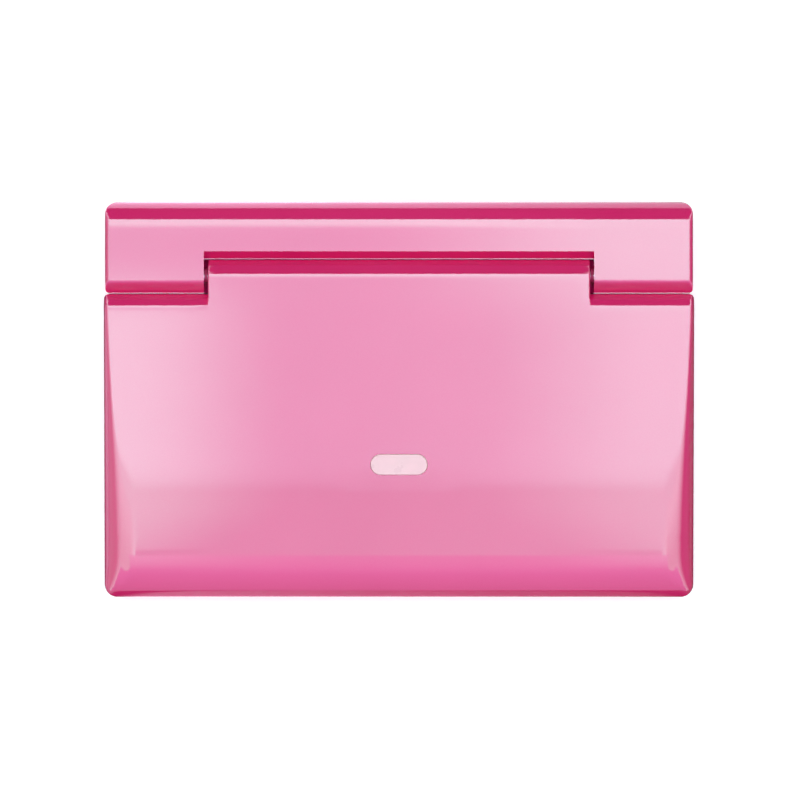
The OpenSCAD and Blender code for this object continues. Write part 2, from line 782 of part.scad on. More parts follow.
module notch() {
  block(-notch_half, notch_half, bar_front - 1, notch_rear, trough_z, bar_top + 1);
  translate([0, notch_rear, bar_top]) along_x(-notch_half, notch_half) mirror([0, 1]) corner(notch_edge_r);
}

module rear_bar() {
  lug_r = 2.4;
  color(pink) difference() {
    union() {
      difference() {
        bar_form(0, split_z);
        difference() {
          bar_form(wall_t, split_z - 1);
          block(-ear_x, ear_x, 0, notch_rear + wall_t, trough_z - wall_t, lid_top);
        }
      }
      intersection() {
        bar_form(wall_t / 2, split_z);
        union() {
          case_bosses(bar_screws, split_z, bar_top, boss_r);
          case_bosses([shoulder_pivot], shoulder_top + slide_gap, bar_top, lug_r);
        }
      }
    }
    notch();
    pair() rod_x(notch_half - 1, ear_x + 1, axis_y, axis_z, pin_r + 0.02);
    // Room in the roof for the steel plates and the pins' ends.
    pair() block(ear_x, plate_x + 1, plate_y - 0.2, plate_y + 9, axis_z - 5.6, plate_top + 0.2);
    pair() rod_x(ear_x, plate_x + 2, axis_y, axis_z, pin_r + 0.1);
    pair() bracket_holes(ear_x - 2.6, ear_x + 1, 0.82);
    pair() shoulder_region(slide_gap);
    case_bosses(bar_screws, split_z - 1, split_z + 6, screw_r + 0.02);
    case_bosses([shoulder_pivot], shoulder_top, shoulder_top + 3, shoulder_pin_r + 0.02);
    block(port_x - port_w / 2 - 0.2, port_x + port_w / 2 + 0.2, rear - wall_t - 1, rear + 1, split_z,
      on_board + port_h + 0.2);
  }
}

// ---- Electronics ----

module main_board() {
  edge = wall_t + 2;
  color(board_green) difference() {
    union() {
      along_z(board_z, split_z)
        plate(-base_half + edge, base_front + wall_t + 0.8, base_half - edge, bar_front - 1.2, [2, 2, 2, 2]);
      block(-board_tongue, board_tongue, bar_front - 2, rear - wall_t - 0.3, board_z, split_z);
    }
    case_bosses(deck_screws, board_z - 1, split_z + 1, boss_r + 0.3);
  }
}

// Chips under the board, and the switches of the shoulder and power buttons.
module board_chips() {
  color(black) {
    pair() {
      block(switch_x - 3, switch_x + 3, switch_y - 3.8, switch_y - 0.8, on_board, on_board + 5);
      rod_y(switch_y - 1, switch_y, switch_x, on_board + 3, 1.2);
    }
    block(power_x - 6, power_x - 2.2, side_y - 2.6, side_y + 2.6, volume_z - 1.4, under_board);
    rod_x(power_x - 2.4, power_x - 1.4, side_y, volume_z, 0.9);
    for (p = [[chip_x, 4, 13], [-chip_x + 2, 14, 9], [chip_x + 15, 20, 7]])
      translate([p[0], battery_y + p[1], under_board - 1.3]) linear_extrude(1.3) square(p[2], center = true);
    for (i = [0 : 5]) translate([chip_x - 7 + 2.6 * i, battery_y - 12, under_board - 0.7]) cube([1.6, 0.8, 0.7]);
  }
}

module board_shield() {
  color(steel) translate([chip_x, battery_y + 4, 0]) difference() {
    along_z(under_board - 2.3, under_board) plate(-9, -9, 9, 9, [1, 1, 1, 1]);
    along_z(under_board - 2, under_board + 1) plate(-8.7, -8.7, 8.7, 8.7, [0.7, 0.7, 0.7, 0.7]);
  }
}

module lower_display() {
  color(dark) block(-lower_w / 2 + 1, lower_w / 2 - 1, lower_y0 + 1, lower_y1 - 1, deck_z - seat - display_t,
    deck_z - seat);
}

module lower_window() {
  color(black) along_z(deck_top - window_t, deck_top)
    plate(-lower_w / 2, lower_y0, lower_w / 2, lower_y1, [1.5, 1.5, 1.5, 1.5]);
}

module battery_pack() {
  color(dark) along_z(battery_z, battery_z + battery_t)
    plate(-battery_w / 2, battery_y - battery_d / 2, battery_w / 2, battery_y + battery_d / 2, [1, 1, 1, 1]);
}

module battery_cover() {
  x = battery_w / 2 + 2.3;
  y = battery_d / 2 + 2.3;
  ear = cover_screw_x + 3.3;
  color(pink) difference() {
    union() {
      block(-x, x, battery_y - y, battery_y + y, case_z, case_z + 1 - seat);
      block(-ear, ear, battery_y - 4.9, battery_y + 4.9, case_z, case_z + 1 - seat);
      block(-x + 2, x - 2, battery_y - y + 2, battery_y + y - 2, case_z, floor_z);
    }
    case_bosses([[cover_screw_x, battery_y]], case_z - 1, case_z + 0.5, 1.7);
    case_bosses([[cover_screw_x, battery_y]], case_z - 1, floor_z + 1, 0.9);
  }
}

module cover_screws() {
  color(steel) pair() {
    rod_z(case_z, case_z + 0.5, cover_screw_x, battery_y, 1.6);
    rod_z(case_z + 0.4, floor_z + 1.4, cover_screw_x, battery_y, 0.8);
  }
}

module case_screws() {
  color(steel) {
    case_bosses(concat(deck_screws, bar_screws), screw_seat - head_h, screw_seat, head_r);
    case_bosses(deck_screws, screw_seat - 0.1, deck_z + 0.4, screw_r);
    case_bosses(bar_screws, screw_seat - 0.1, split_z + 5.6, screw_r);
  }
}

module rubber_feet() {
  color(rubber) case_bosses(feet_at, 0, case_z + 0.4, foot_r);
}

module game_card_slot() {
  top = under_board;
  low = top - 0.8 - card_t - 0.3;
  half = card_w / 2 + 0.3;
  color(dark) difference() {
    block(-half - 0.9, half + 0.9, card_y - 1.5, rear - wall_t - 0.2, low - 0.5, top);
    block(-half, half, card_y, rear, low, top - 0.8);
  }
}

module memory_card_slot() {
  half = memory_w / 2 + 0.3;
  color(steel) difference() {
    block(-base_half + 1.3, -base_half + 30, memory_y - half - 0.4, memory_y + half + 0.4, memory_z - 0.4, under_board);
    block(-base_half, -base_half + 29, memory_y - half, memory_y + half, memory_z, memory_z + memory_t + 0.4);
  }
}

// A door that swings down on two small pins.
module card_flap() {
  x = -base_half + flap_r;
  color(pink) {
    along_y(memory_y - flap_w / 2, memory_y + flap_w / 2) {
      translate([x, hinge_z]) circle(flap_r);
      plate(x - flap_r, hinge_z, x + flap_r, flap_z);
    }
    rod_y(memory_y - flap_w / 2 - 0.9, memory_y + flap_w / 2 + 0.9, x, hinge_z, 0.32);
  }
}

module charging_port() {
  color(steel) translate([port_x, 0, on_board + port_h / 2]) difference() {
    along_y(rear - wall_t - 6, rear - 0.6) pill(port_w, port_h);
    along_y(rear - wall_t - 4, rear) pill(port_w - 0.6, port_h - 0.6);
    along_y(rear - wall_t - 5, rear - 1.2) pill(1, 0.4);
  }
  color(dark) block(port_x - 3, port_x + 3, rear - wall_t - 5.9, rear - 1.6, on_board + port_h / 2 - 0.35,
    on_board + port_h / 2 + 0.35);
}

module headphone_jack() {
  y0 = base_front + wall_t + seat;
  color(dark) difference() {
    union() {
      block(jack_x - 3.2, jack_x + 3.2, y0 + 0.6, base_front + jack_l + 1.2, jack_z - 2.55, jack_z + 2.55);
      rod_y(base_front + 0.1, y0 + 1, jack_x, jack_z, jack_r + 0.6);
    }
    rod_y(base_front - 1, base_front + jack_l, jack_x, jack_z, jack_r);
  }
}

module wireless_module() {
  color(steel) {
    block(-36, -16, bar_front + 3, bar_front + 17, on_board, on_board + 0.8);
    block(-35, -17, bar_front + 4, bar_front + 16, on_board + 0.7, on_board + 2.3);
  }
}

module antenna() {
  color([0.80, 0.62, 0.30])
    block(-40, -8, notch_rear + wall_t + seat, notch_rear + wall_t + 0.4, trough_z - 0.5, trough_z + 3.5);
}

// ---- Controls ----

module pad_base() {
  color(dark) translate([-column, pad_y, 0]) difference() {
    union() {
      along_z(on_board, deck_z - 0.1) square(2 * pad_frame, center = true);
      rod_z(deck_z - 0.2, pad_dish_top, 0, 0, pad_hole_r - 0.3);
    }
    along_z(on_board + pad_floor, pad_roof_z) square(2 * pad_cavity, center = true);
    rod_z(pad_roof_z - 1, deck_top, 0, 0, pad_stem_hole);
  }
}

// Carries the thumb pad from side to side.
module pad_slider() {
  color(pale) translate([-column, pad_y, pad_plate_z]) linear_extrude(pad_plate_t)
    square([2 * pad_foot, 2 * (pad_cavity - slide_gap)], center = true);
}

module thumb_pad() {
  color([0.55, 0.56, 0.58]) translate([-column, pad_y, 0]) difference() {
    union() {
      along_z(pad_foot_z, pad_foot_z + pad_plate_t) square(2 * pad_foot, center = true);
      rod_z(pad_foot_z, pad_cap_z + 0.1, 0, 0, pad_stem_r);
      rod_z(pad_cap_z, deck_top + 1, 0, 0, pad_r);
    }
    // A shallow dish for the thumb.
    translate([0, 0, deck_top + 0.55]) sphere_dish(pad_r - 1.4, 0.5);
  }
}

// A spherical hollow of radius r at its mouth and depth d, whose floor is at the origin.
module sphere_dish(r, d) {
  ball = (r * r + d * d) / (2 * d);
  translate([0, 0, ball]) sphere(ball, $fn = 96);
}

module d_pad() {
  color(dark) translate([-column, dpad_y, 0]) difference() {
    union() {
      along_z(dpad_z, dpad_top) {
        square([dpad_w, dpad_arm], center = true);
        square([dpad_arm, dpad_w], center = true);
      }
      rod_z(dpad_z, dpad_z + 0.4, 0, 0, dpad_flange_r);
    }
    translate([0, 0, pivot_z]) cube([hub_w + 0.4, hub_w + 0.4, hub_h + 0.5], center = true);
    rod_y(-cross_l - 0.2, cross_l + 0.2, 0, pivot_z, cross_r + fit);
    block(-cross_l - 0.2, cross_l + 0.2, -cross_r - 0.1, cross_r + 0.1, pivot_z, pivot_z + cross_r + 0.3);
    translate([0, 0, dpad_top - 0.4]) sphere_dish(3, 0.6);
  }
}

// Four small pins on a hub, so that the pad tilts both ways but doesn't turn.
module d_pad_pivot() {
  color(steel) translate([-column, dpad_y, pivot_z]) {
    cube([hub_w, hub_w, hub_h], center = true);
    rod_x(-cross_l, cross_l, 0, 0, cross_r);
    rod_y(-cross_l, cross_l, 0, 0, cross_r);
  }
}

module d_pad_membrane() {
  color([0.75, 0.75, 0.78]) translate([-column, dpad_y, 0]) difference() {
    union() {
      along_z(on_board, on_board + sheet_t) plate(-11, -11, 11, 11, [3, 3, 3, 3]);
      rod_z(on_board, pivot_z - 0.1, 0, 0, cross_l + 0.6);
    }
    rod_z(on_board - 1, pivot_z + 1, 0, 0, 0.75 * hub_w + 0.1);
    rod_x(-cross_l - 0.2, cross_l + 0.2, 0, pivot_z, cross_r + fit);
    block(-cross_r - 0.2, cross_r + 0.2, -cross_l - 0.2, cross_l + 0.2, pivot_z - cross_r - 0.3, pivot_z + 1);
  }
}

module face_button(p) {
  color(pale) translate([column + button_ring * p[0], ring_y + button_ring * p[1], 0]) {
    rod_z(flange_z, flange_z + flange_t, 0, 0, button_r + flange_out);
    rod_z(flange_z, button_top - 0.4, 0, 0, button_r);
    translate([0, 0, button_top - 0.4]) cylinder(h = 0.4, r1 = button_r, r2 = button_r - 0.4);
    rod_z(stem_z, flange_z + 0.1, 0, 0, stem_r);
  }
}

module button_top() {
  face_button(buttons[0]);
}

module button_right() {
  face_button(buttons[1]);
}

module button_bottom() {
  face_button(buttons[2]);
}

module button_left() {
  face_button(buttons[3]);
}

module pill_button(x, y, w) {
  color(pale) translate([x, y, 0]) {
    along_z(flange_z, flange_z + flange_t) pill(w + 2 * flange_out, pill_d + 2 * flange_out);
    along_z(flange_z, button_top - 0.3) pill(w, pill_d);
    rod_z(stem_z, flange_z + 0.1, 0, 0, stem_r);
  }
}

module select_button() {
  pill_button(column, select_y, pill_w);
}

module start_button() {
  pill_button(column, start_y, pill_w);
}

module home_button() {
  pill_button(0, home_y, home_w);
}

// Silicone sheets with a collar round each button's stem.
module button_membrane() {
  stems = concat([for (p = buttons) [column + button_ring * p[0], ring_y + button_ring * p[1]]],
    [[column, select_y], [column, start_y], [0, home_y]]);
  collar_top = stem_z - slide_gap;
  color([0.75, 0.75, 0.78]) difference() {
    union() {
      along_z(on_board, on_board + sheet_t) {
        plate(column - 13, start_y - 4, column + 12.6, ring_y + button_ring + 3.4, [2, 2, 4, 4]);
        translate([0, home_y]) pill(home_w + 2, 7.4);
      }
      for (p = stems) rod_z(on_board, collar_top, p[0], p[1], stem_r + 1.3);
    }
    for (p = stems) rod_z(on_board - 1, deck_z, p[0], p[1], stem_r + 0.4);
  }
}

// ---- Shoulder buttons and side controls ----

module shoulder() {
  skin = 2;
  color([0.55, 0.56, 0.58]) difference() {
    union() {
      intersection() {
        shoulder_region(0);
        difference() {
          base_form(0, case_z, shoulder_top);
          base_form(skin, case_z - 1, shoulder_top + 1);
        }
      }
      block(shoulder_x, switch_x + 3, arm_y, rear - 1, shoulder_z, shoulder_top);
      rod_z(shoulder_z, shoulder_top, shoulder_pivot[0], shoulder_pivot[1], 2.3);
    }
    rod_z(case_z, lid_top, shoulder_pivot[0], shoulder_pivot[1], shoulder_pin_r + fit);
    rod_z(shoulder_top - spring_room, lid_top, shoulder_pivot[0], shoulder_pivot[1], 2.2);
    block(0, shoulder_pivot[0], rear - 8, shoulder_pivot[1], shoulder_top - spring_room, lid_top);
  }
}

module shoulder_right() {
  shoulder();
}

module shoulder_left() {
  mirror([1, 0, 0]) shoulder();
}

// The pins with their coil springs.
module shoulder_springs() {
  color(steel) pair() translate([shoulder_pivot[0], shoulder_pivot[1], 0]) {
    rod_z(split_z - 1.8, shoulder_top + 2.8, 0, 0, shoulder_pin_r);
    for (i = [0 : 4]) translate([0, 0, shoulder_top - spring_room + 0.4 + i * 2 * spring_wire])
      rotate_extrude() translate([shoulder_pin_r + spring_wire, 0]) circle(spring_wire + 0.01, $fn = 16);
  }
}

module volume_slider() {
  y = side_y;
  x = -base_half;
  color(dark) {
    block(x + 0.15, x + 0.95, y - knob_d / 2, y + knob_d / 2, volume_z - 1.5, volume_z + 1.5);
    block(x + 0.9, x + wall_t + 1.5, y - 1, y + 1, volume_z - 0.6, volume_z + 0.6);
    block(x + wall_t + 1.3, x + wall_t + 1.9, y - 2.4, y + 2.4, volume_z - 1.6, volume_z + 1.6);
  }
}

module power_button() {
  color(pale) translate([0, side_y, volume_z]) rotate([90, 0, 90]) {
    translate([0, 0, power_x - 0.5]) linear_extrude(wall_t + 0.4) pill(6, 2 * power_r);
    translate([0, 0, power_x - 0.8]) linear_extrude(0.7) pill(8, 2 * power_r + 1.2);
  }
}

module stylus() {
  x1 = base_half - 0.1;
  color(dark) translate([0, stylus_y, stylus_z]) rotate([0, 90, 0]) {
    translate([0, 0, x1 - stylus_l + 5]) difference() {
      cylinder(h = stylus_l - 5, r = stylus_r);
      for (i = [0 : 5]) translate([0, 0, 12 + 2 * i]) difference() {
        cylinder(h = 0.8, r = stylus_r + 1);
        translate([0, 0, -1]) cylinder(h = 3, r = stylus_r - 0.2);
      }
    }
    translate([0, 0, x1 - stylus_l]) cylinder(h = 5.01, r1 = 0.6, r2 = stylus_r);
  }
}

lid_shell();
lid_badge();
lid_bezel();
upper_window();
upper_display();
speaker_left();
speaker_right();
lid_screws();
lid_bumpers();
lid_magnet();
display_flex();
hinge_sleeve_left();
hinge_sleeve_right();
hinge_tube_left();
hinge_pin_right();
hinge_bracket_left();
hinge_bracket_right();
bracket_screws();
hinge_washers();
hinge_flex();
bottom_case();
control_deck();
rear_bar();
main_board();
board_chips();
board_shield();
lower_display();
lower_window();
battery_pack();
battery_cover();
cover_screws();
case_screws();
rubber_feet();
game_card_slot();
memory_card_slot();
card_flap();
charging_port();
headphone_jack();
wireless_module();
antenna();
pad_base();
pad_slider();
thumb_pad();
d_pad();
d_pad_pivot();
d_pad_membrane();
button_top();
button_right();
button_bottom();
button_left();
button_membrane();
select_button();
start_button();
home_button();
shoulder_left();
shoulder_right();
shoulder_springs();
volume_slider();
power_button();
stylus();
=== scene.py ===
import json
import math
import bmesh
import bpy
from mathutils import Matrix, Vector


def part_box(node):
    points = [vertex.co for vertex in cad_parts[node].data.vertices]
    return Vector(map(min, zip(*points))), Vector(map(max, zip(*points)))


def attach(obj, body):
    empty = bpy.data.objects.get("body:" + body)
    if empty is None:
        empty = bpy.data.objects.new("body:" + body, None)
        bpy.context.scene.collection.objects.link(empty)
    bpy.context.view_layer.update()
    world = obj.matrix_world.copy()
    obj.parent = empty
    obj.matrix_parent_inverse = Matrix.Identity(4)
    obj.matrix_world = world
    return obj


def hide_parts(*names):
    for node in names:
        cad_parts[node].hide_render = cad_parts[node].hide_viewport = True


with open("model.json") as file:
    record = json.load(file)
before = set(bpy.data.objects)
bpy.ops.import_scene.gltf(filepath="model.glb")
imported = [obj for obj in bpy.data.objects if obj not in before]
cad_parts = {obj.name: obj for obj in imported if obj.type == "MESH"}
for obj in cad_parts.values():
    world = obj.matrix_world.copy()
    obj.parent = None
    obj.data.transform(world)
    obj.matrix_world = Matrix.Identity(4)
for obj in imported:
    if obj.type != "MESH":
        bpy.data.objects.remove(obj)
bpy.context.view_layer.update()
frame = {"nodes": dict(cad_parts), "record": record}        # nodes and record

nodes = frame["nodes"]
mm = 0.001
# Distances within which points merge or count as level, and the angle in degrees of a sharp edge
making = {"merge": 0.002 * mm, "same": 0.01 * mm, "clear": 1 * mm, "sharp": 38, "longestBorder": 5000}


def sized(**sizes):
    # Sizes written in millimetres, as metres.
    return {name: value * mm for name, value in sizes.items()}


# Nodes written as sums

class Wire:
    # One output of a node, with the operators that the rules below use.
    def __init__(self, bench, socket):
        self.bench, self.socket = bench, socket

    def maths(self, operation, *others, clamp=False):
        settings = {"operation": operation, "use_clamp": clamp}
        return self.bench.node("ShaderNodeMath", settings, [self, *others])

    def __add__(self, other): return self.maths("ADD", other)
    def __sub__(self, other): return self.maths("SUBTRACT", other)
    def __mul__(self, other): return self.maths("MULTIPLY", other)
    def __truediv__(self, other): return self.maths("DIVIDE", other)
    def __pow__(self, other): return self.maths("POWER", other)
    def __radd__(self, other): return self + other
    def __rmul__(self, other): return self * other
    def __neg__(self): return self * -1.0
    def __abs__(self): return self.maths("ABSOLUTE")
    def clamped(self): return self.maths("ADD", 0.0, clamp=True)

    def __rsub__(self, other):
        return self.bench.node("ShaderNodeMath", {"operation": "SUBTRACT"}, [other, self])


class Bench:
    # A node tree that nodes are added to, all by one method.
    def __init__(self, tree):
        self.tree = tree

    def node(self, kind, settings=None, inputs=None, output=0):
        made = self.tree.nodes.new(kind)
        for name, value in (settings or {}).items():
            setattr(made, name, value)
        for key, value in (inputs.items() if isinstance(inputs, dict) else enumerate(inputs or [])):
            if isinstance(value, Wire):
                self.tree.links.new(value.socket, made.inputs[key])
            else:
                made.inputs[key].default_value = value
        return Wire(self, made.outputs[output]) if len(made.outputs) else None

    def place(self, size=(1, 1, 1)):
        # The point on the piece in metres, with the pattern drawn out along each axis by size.
        point = self.node("ShaderNodeTexCoord", output="Object")
        return self.node("ShaderNodeMapping", {"vector_type": "TEXTURE"}, {"Vector": point, "Scale": size})

    def axes(self, where=None):
        point = where or self.node("ShaderNodeTexCoord", output="Object")
        parts = self.node("ShaderNodeSeparateXYZ", {}, {"Vector": point})
        return [Wire(self, parts.socket.node.outputs[i]) for i in range(3)]

    def noise(self, size, detail=3.0, rough=0.5, where=None):
        return self.node("ShaderNodeTexNoise", {}, {"Vector": where or self.place(), "Scale": 1 / size,
                                                    "Detail": detail, "Roughness": rough})

    def cells(self, size, output="Distance"):
        inputs = {"Vector": self.place(), "Scale": 1 / size}
        return self.node("ShaderNodeTexVoronoi", {}, inputs, output=output)

    def bands(self, size, direction):
        settings = {"wave_type": "BANDS", "bands_direction": direction}
        return self.node("ShaderNodeTexWave", settings,
                         {"Vector": self.place(), "Scale": 1 / size, "Distortion": 0.0})

    def blend(self, share, first, second):
        # The Mix node's factor, its two colours and its colour output go by number.
        colours = {0: share, 6: colour4(first), 7: colour4(second)}
        return self.node("ShaderNodeMix", {"data_type": "RGBA"}, colours, output=2)

    def span(self, value, low, high, newLow=0.0, newHigh=1.0):
        return self.node("ShaderNodeMapRange", {}, {"Value": value, "From Min": low, "From Max": high,
                                                    "To Min": newLow, "To Max": newHigh})

    def patches(self, pattern, low=0.0, high=1.0):
        # The middle of a noise pattern's range, spread from low to high.
        return self.span(pattern, 0.3, 0.7, low, high)

    def smooth(self, value, low, high):
        # From 0 to 1 with a soft start and end.
        share = self.span(value, low, high)
        return share * share * (3 - share * 2)

    def bump(self, height, depth):
        return self.node("ShaderNodeBump", {}, {"Height": height, "Distance": depth})


def colour4(value):
    return value if isinstance(value, Wire) or len(value) == 4 else (*value, 1)


def material(name, surface):
    # surface(bench) gives the shader.
    made = bpy.data.materials.new(name)
    made.use_nodes = True
    made.node_tree.nodes.clear()
    bench = Bench(made.node_tree)
    bench.node("ShaderNodeOutputMaterial", {}, {"Surface": surface(bench)})
    return made


# Finishes

def finish(name, paint, **fixed):
    # paint gives what varies over the surface; fixed values stand on the shader's own sockets.
    values = {key.replace("_", " "): value for key, value in fixed.items()}

    def surface(bench):
        return bench.node("ShaderNodeBsdfPrincipled", {}, {**values, **paint(bench)})
    return material(name, surface)


lacquer = {
    "deep": (0.635, 0.004, 0.110), "light": (0.665, 0.010, 0.122), "drift": 38 * mm,
    "flake": 0.09 * mm, "spark": 0.04, "glint": (0.86, 0.20, 0.40),
    "rub": 7 * mm, "gloss": (0.34, 0.42), "peel": 1.3 * mm, "peelDepth": 0.0022 * mm,
}


def pinkLacquer(bench):
    drift = bench.noise(lacquer["drift"], detail=2.0)
    flakes = bench.cells(lacquer["flake"], output="Color")
    flake = bench.node("ShaderNodeSeparateColor", {}, {"Color": flakes})
    tone = bench.blend(bench.patches(drift), lacquer["deep"], lacquer["light"])
    rub = bench.noise(lacquer["rub"], detail=4.0, rough=0.6)
    return {"Base Color": bench.blend(flake * lacquer["spark"], tone, lacquer["glint"]),
            "Roughness": bench.patches(rub, *lacquer["gloss"]),
            "Normal": bench.bump(bench.noise(lacquer["peel"], detail=1.0), lacquer["peelDepth"])}


plastic = {"drift": 22 * mm, "handled": 9 * mm, "coarse": 0.35 * mm, "fine": 0.2 * mm,
           "grainDepth": 0.012 * mm, "dull": (0.42, 0.55), "satin": (0.38, 0.5), "smooth": (0.36, 0.5)}


def grained(colour, shade, gloss="dull", grain="coarse"):
    # Moulded plastic with a fine spark-eroded grain.
    def paint(bench):
        drift = bench.noise(plastic["drift"])
        grit = bench.noise(plastic[grain], detail=2.0, rough=0.6)
        handled = bench.noise(plastic["handled"], rough=0.6)
        return {"Base Color": bench.blend(bench.patches(drift), colour, shade),
                "Roughness": bench.patches(handled, *plastic[gloss]),
                "Normal": bench.bump(grit, plastic["grainDepth"])}
    return paint


window = {"clean": (0.004, 0.004, 0.006), "wiped": (0.010, 0.010, 0.014), "wipe": 26 * mm,
          "gloss": (0.045, 0.09), "dust": 1.7 * mm, "dustless": 0.97, "dustRough": 0.03}


def blackWindow(bench):
    wipe = bench.noise(window["wipe"], detail=4.0, rough=0.65)
    dust = bench.cells(window["dust"], output="Color")
    speck = bench.node("ShaderNodeSeparateColor", {}, {"Color": dust})
    dull = bench.span(speck, window["dustless"], 1.0, 0.0, window["dustRough"])
    return {"Base Color": bench.blend(bench.span(wipe, 0.35, 0.7), window["clean"], window["wiped"]),
            "Roughness": bench.span(wipe, 0.3, 0.75, *window["gloss"]) + dull}


display = {"row": 0.9 * mm, "dark": (0.010, 0.012, 0.018), "light": (0.020, 0.024, 0.032),
           "smear": 12 * mm, "gloss": (0.10, 0.16)}


def displayGlass(bench):
    rows = bench.bands(display["row"], "Y")
    return {"Base Color": bench.blend(rows, display["dark"], display["light"]),
            "Roughness": bench.patches(bench.noise(display["smear"]), *display["gloss"])}


steel = {"clean": (0.60, 0.61, 0.63), "stained": (0.52, 0.52, 0.53), "stain": 6 * mm, "lines": 1 * mm,
         "drawn": (14, 0.35, 0.35), "gloss": (0.24, 0.40), "depth": 0.006 * mm}


def brushedSteel(bench):
    lines = bench.noise(steel["lines"], detail=5.0, rough=0.6, where=bench.place(steel["drawn"]))
    stain = bench.noise(steel["stain"])
    return {"Base Color": bench.blend(bench.patches(stain), steel["clean"], steel["stained"]),
            "Roughness": bench.patches(lines, *steel["gloss"]), "Normal": bench.bump(lines, steel["depth"])}


rubber = {"clean": (0.022, 0.022, 0.024), "dusty": (0.060, 0.058, 0.056), "dust": 4 * mm, "grit": 0.5 * mm,
          "depth": 0.03 * mm, "gloss": (0.72, 0.88)}


def feetRubber(bench):
    grit = bench.noise(rubber["grit"], rough=0.7)
    dust = bench.noise(rubber["dust"], detail=4.0, rough=0.7)
    return {"Base Color": bench.blend(bench.span(dust, 0.45, 0.75), rubber["clean"], rubber["dusty"]),
            "Roughness": bench.patches(dust, *rubber["gloss"]), "Normal": bench.bump(grit, rubber["depth"])}


silicone = {"clear": (0.52, 0.52, 0.56), "milky": (0.60, 0.60, 0.63), "cloud": 5 * mm, "gloss": (0.5, 0.62)}


def siliconeSheet(bench):
    cloud = bench.noise(silicone["cloud"])
    return {"Base Color": bench.blend(bench.patches(cloud), silicone["clear"], silicone["milky"]),
            "Roughness": bench.patches(cloud, *silicone["gloss"])}


film = {"amber": (0.52, 0.22, 0.04), "track": (0.72, 0.42, 0.14), "pitch": 2.2 * mm, "smear": 3 * mm,
        "gloss": (0.28, 0.4)}


def amberFilm(bench):
    tracks = bench.bands(film["pitch"], "X")
    return {"Base Color": bench.blend(bench.span(tracks, 0.45, 0.6), film["amber"], film["track"]),
            "Roughness": bench.patches(bench.noise(film["smear"]), *film["gloss"])}


foil = {"dark": (0.62, 0.42, 0.18), "light": (0.80, 0.60, 0.30), "crease": 2 * mm, "depth": 0.02 * mm,
        "gloss": (0.25, 0.42)}


def antennaFoil(bench):
    crease = bench.noise(foil["crease"], detail=4.0, rough=0.6)
    return {"Base Color": bench.blend(crease, foil["dark"], foil["light"]),
            "Roughness": bench.patches(crease, *foil["gloss"]), "Normal": bench.bump(crease, foil["depth"])}


board = {"green": (0.018, 0.120, 0.060), "paleGreen": (0.030, 0.160, 0.085), "cloud": 18 * mm,
         "track": (0.045, 0.24, 0.12), "trackLong": 6.5 * mm, "trackPitch": 1.1 * mm, "trackWide": 0.18 * mm,
         "tin": (0.62, 0.60, 0.55), "padPitch": 2.6 * mm, "smear": 4 * mm, "gloss": (0.32, 0.45)}


def boardLaminate(bench):
    tracks = bench.node("ShaderNodeTexBrick", {"offset": 0.35, "squash": 1.0},
                        {"Vector": bench.place(), "Scale": 1.0, "Mortar Size": board["trackWide"],
                         "Mortar Smooth": 0.2, "Brick Width": board["trackLong"],
                         "Row Height": board["trackPitch"]}, output="Fac")
    green = bench.blend(bench.noise(board["cloud"]), board["green"], board["paleGreen"])
    traced = bench.blend(tracks, green, board["track"])
    tin = bench.span(bench.cells(board["padPitch"]), 0.12, 0.16, 1.0, 0.0)
    return {"Base Color": bench.blend(tin, traced, board["tin"]), "Metallic": tin * 0.8,
            "Roughness": bench.patches(bench.noise(board["smear"]), *board["gloss"])}


inlay = {"deep": (0.74, 0.36, 0.37), "light": (0.80, 0.40, 0.42), "cloud": 4 * mm, "gloss": (0.26, 0.34),
         "fleck": 0.12 * mm, "fleckShare": 0.06, "fleckColour": (0.8, 0.75, 0.78)}


def badgeInlay(bench):
    cloud = bench.noise(inlay["cloud"])
    fleck = bench.noise(inlay["fleck"], detail=1.0)
    tone = bench.blend(bench.patches(cloud), inlay["deep"], inlay["light"])
    return {"Base Color": bench.blend(fleck * inlay["fleckShare"], tone, inlay["fleckColour"]),
            "Roughness": bench.patches(cloud, *inlay["gloss"])}


finishes = {
    "pink_lacquer": finish("pinkLacquer", pinkLacquer, Coat_Weight=1.0, Coat_Roughness=0.03, Coat_IOR=1.5,
                           Specular_IOR_Level=0.05),
    "pale_plastic": finish("palePlastic", grained((0.80, 0.75, 0.77), (0.74, 0.69, 0.71))),
    "badge_inlay": finish("badgeInlay", badgeInlay),
    "grey_plastic": finish("greyPlastic", grained((0.25, 0.25, 0.27), (0.21, 0.21, 0.23), "satin")),
    "dark_plastic": finish("darkPlastic", grained((0.022, 0.022, 0.025), (0.032, 0.031, 0.034), "smooth")),
    "black_window": finish("blackWindow", blackWindow, Coat_Weight=1.0, Coat_Roughness=0.02),
    "display_glass": finish("displayGlass", displayGlass),
    "steel": finish("brushedSteel", brushedSteel, Metallic=1.0),
    "rubber": finish("feetRubber", feetRubber),
    "silicone": finish("siliconeSheet", siliconeSheet),
    "amber_film": finish("amberFilm", amberFilm),
    "antenna_foil": finish("antennaFoil", antennaFoil, Metallic=1.0),
    "board_laminate": finish("boardLaminate", boardLaminate),
    # The hinge washers: a dark pink that is painted shade for the narrow gap they sit in
    "washer": finish("washerNylon", grained((0.20, 0.003, 0.035), (0.24, 0.005, 0.045)),
                     Specular_IOR_Level=0.15),
    "chip_black": finish("chipBlack", grained((0.012, 0.012, 0.013), (0.020, 0.020, 0.022), grain="fine")),
}
slotOf = {row["node"]: row["material_slot"] for row in frame["record"]["subparts"]}
for name, piece in nodes.items():
    piece.data.materials.clear()
    # The hinge washers take the dark pink painted-shade finish in place of their own slot's
    piece.data.materials.append(finishes["washer" if name == "hinge_washers" else slotOf[name]])
print("finishes:", len(finishes))


# Making pieces

def mesh(name, points, faces):
    made = bpy.data.meshes.new(name)
    made.from_pydata(points, [], faces)
    return made


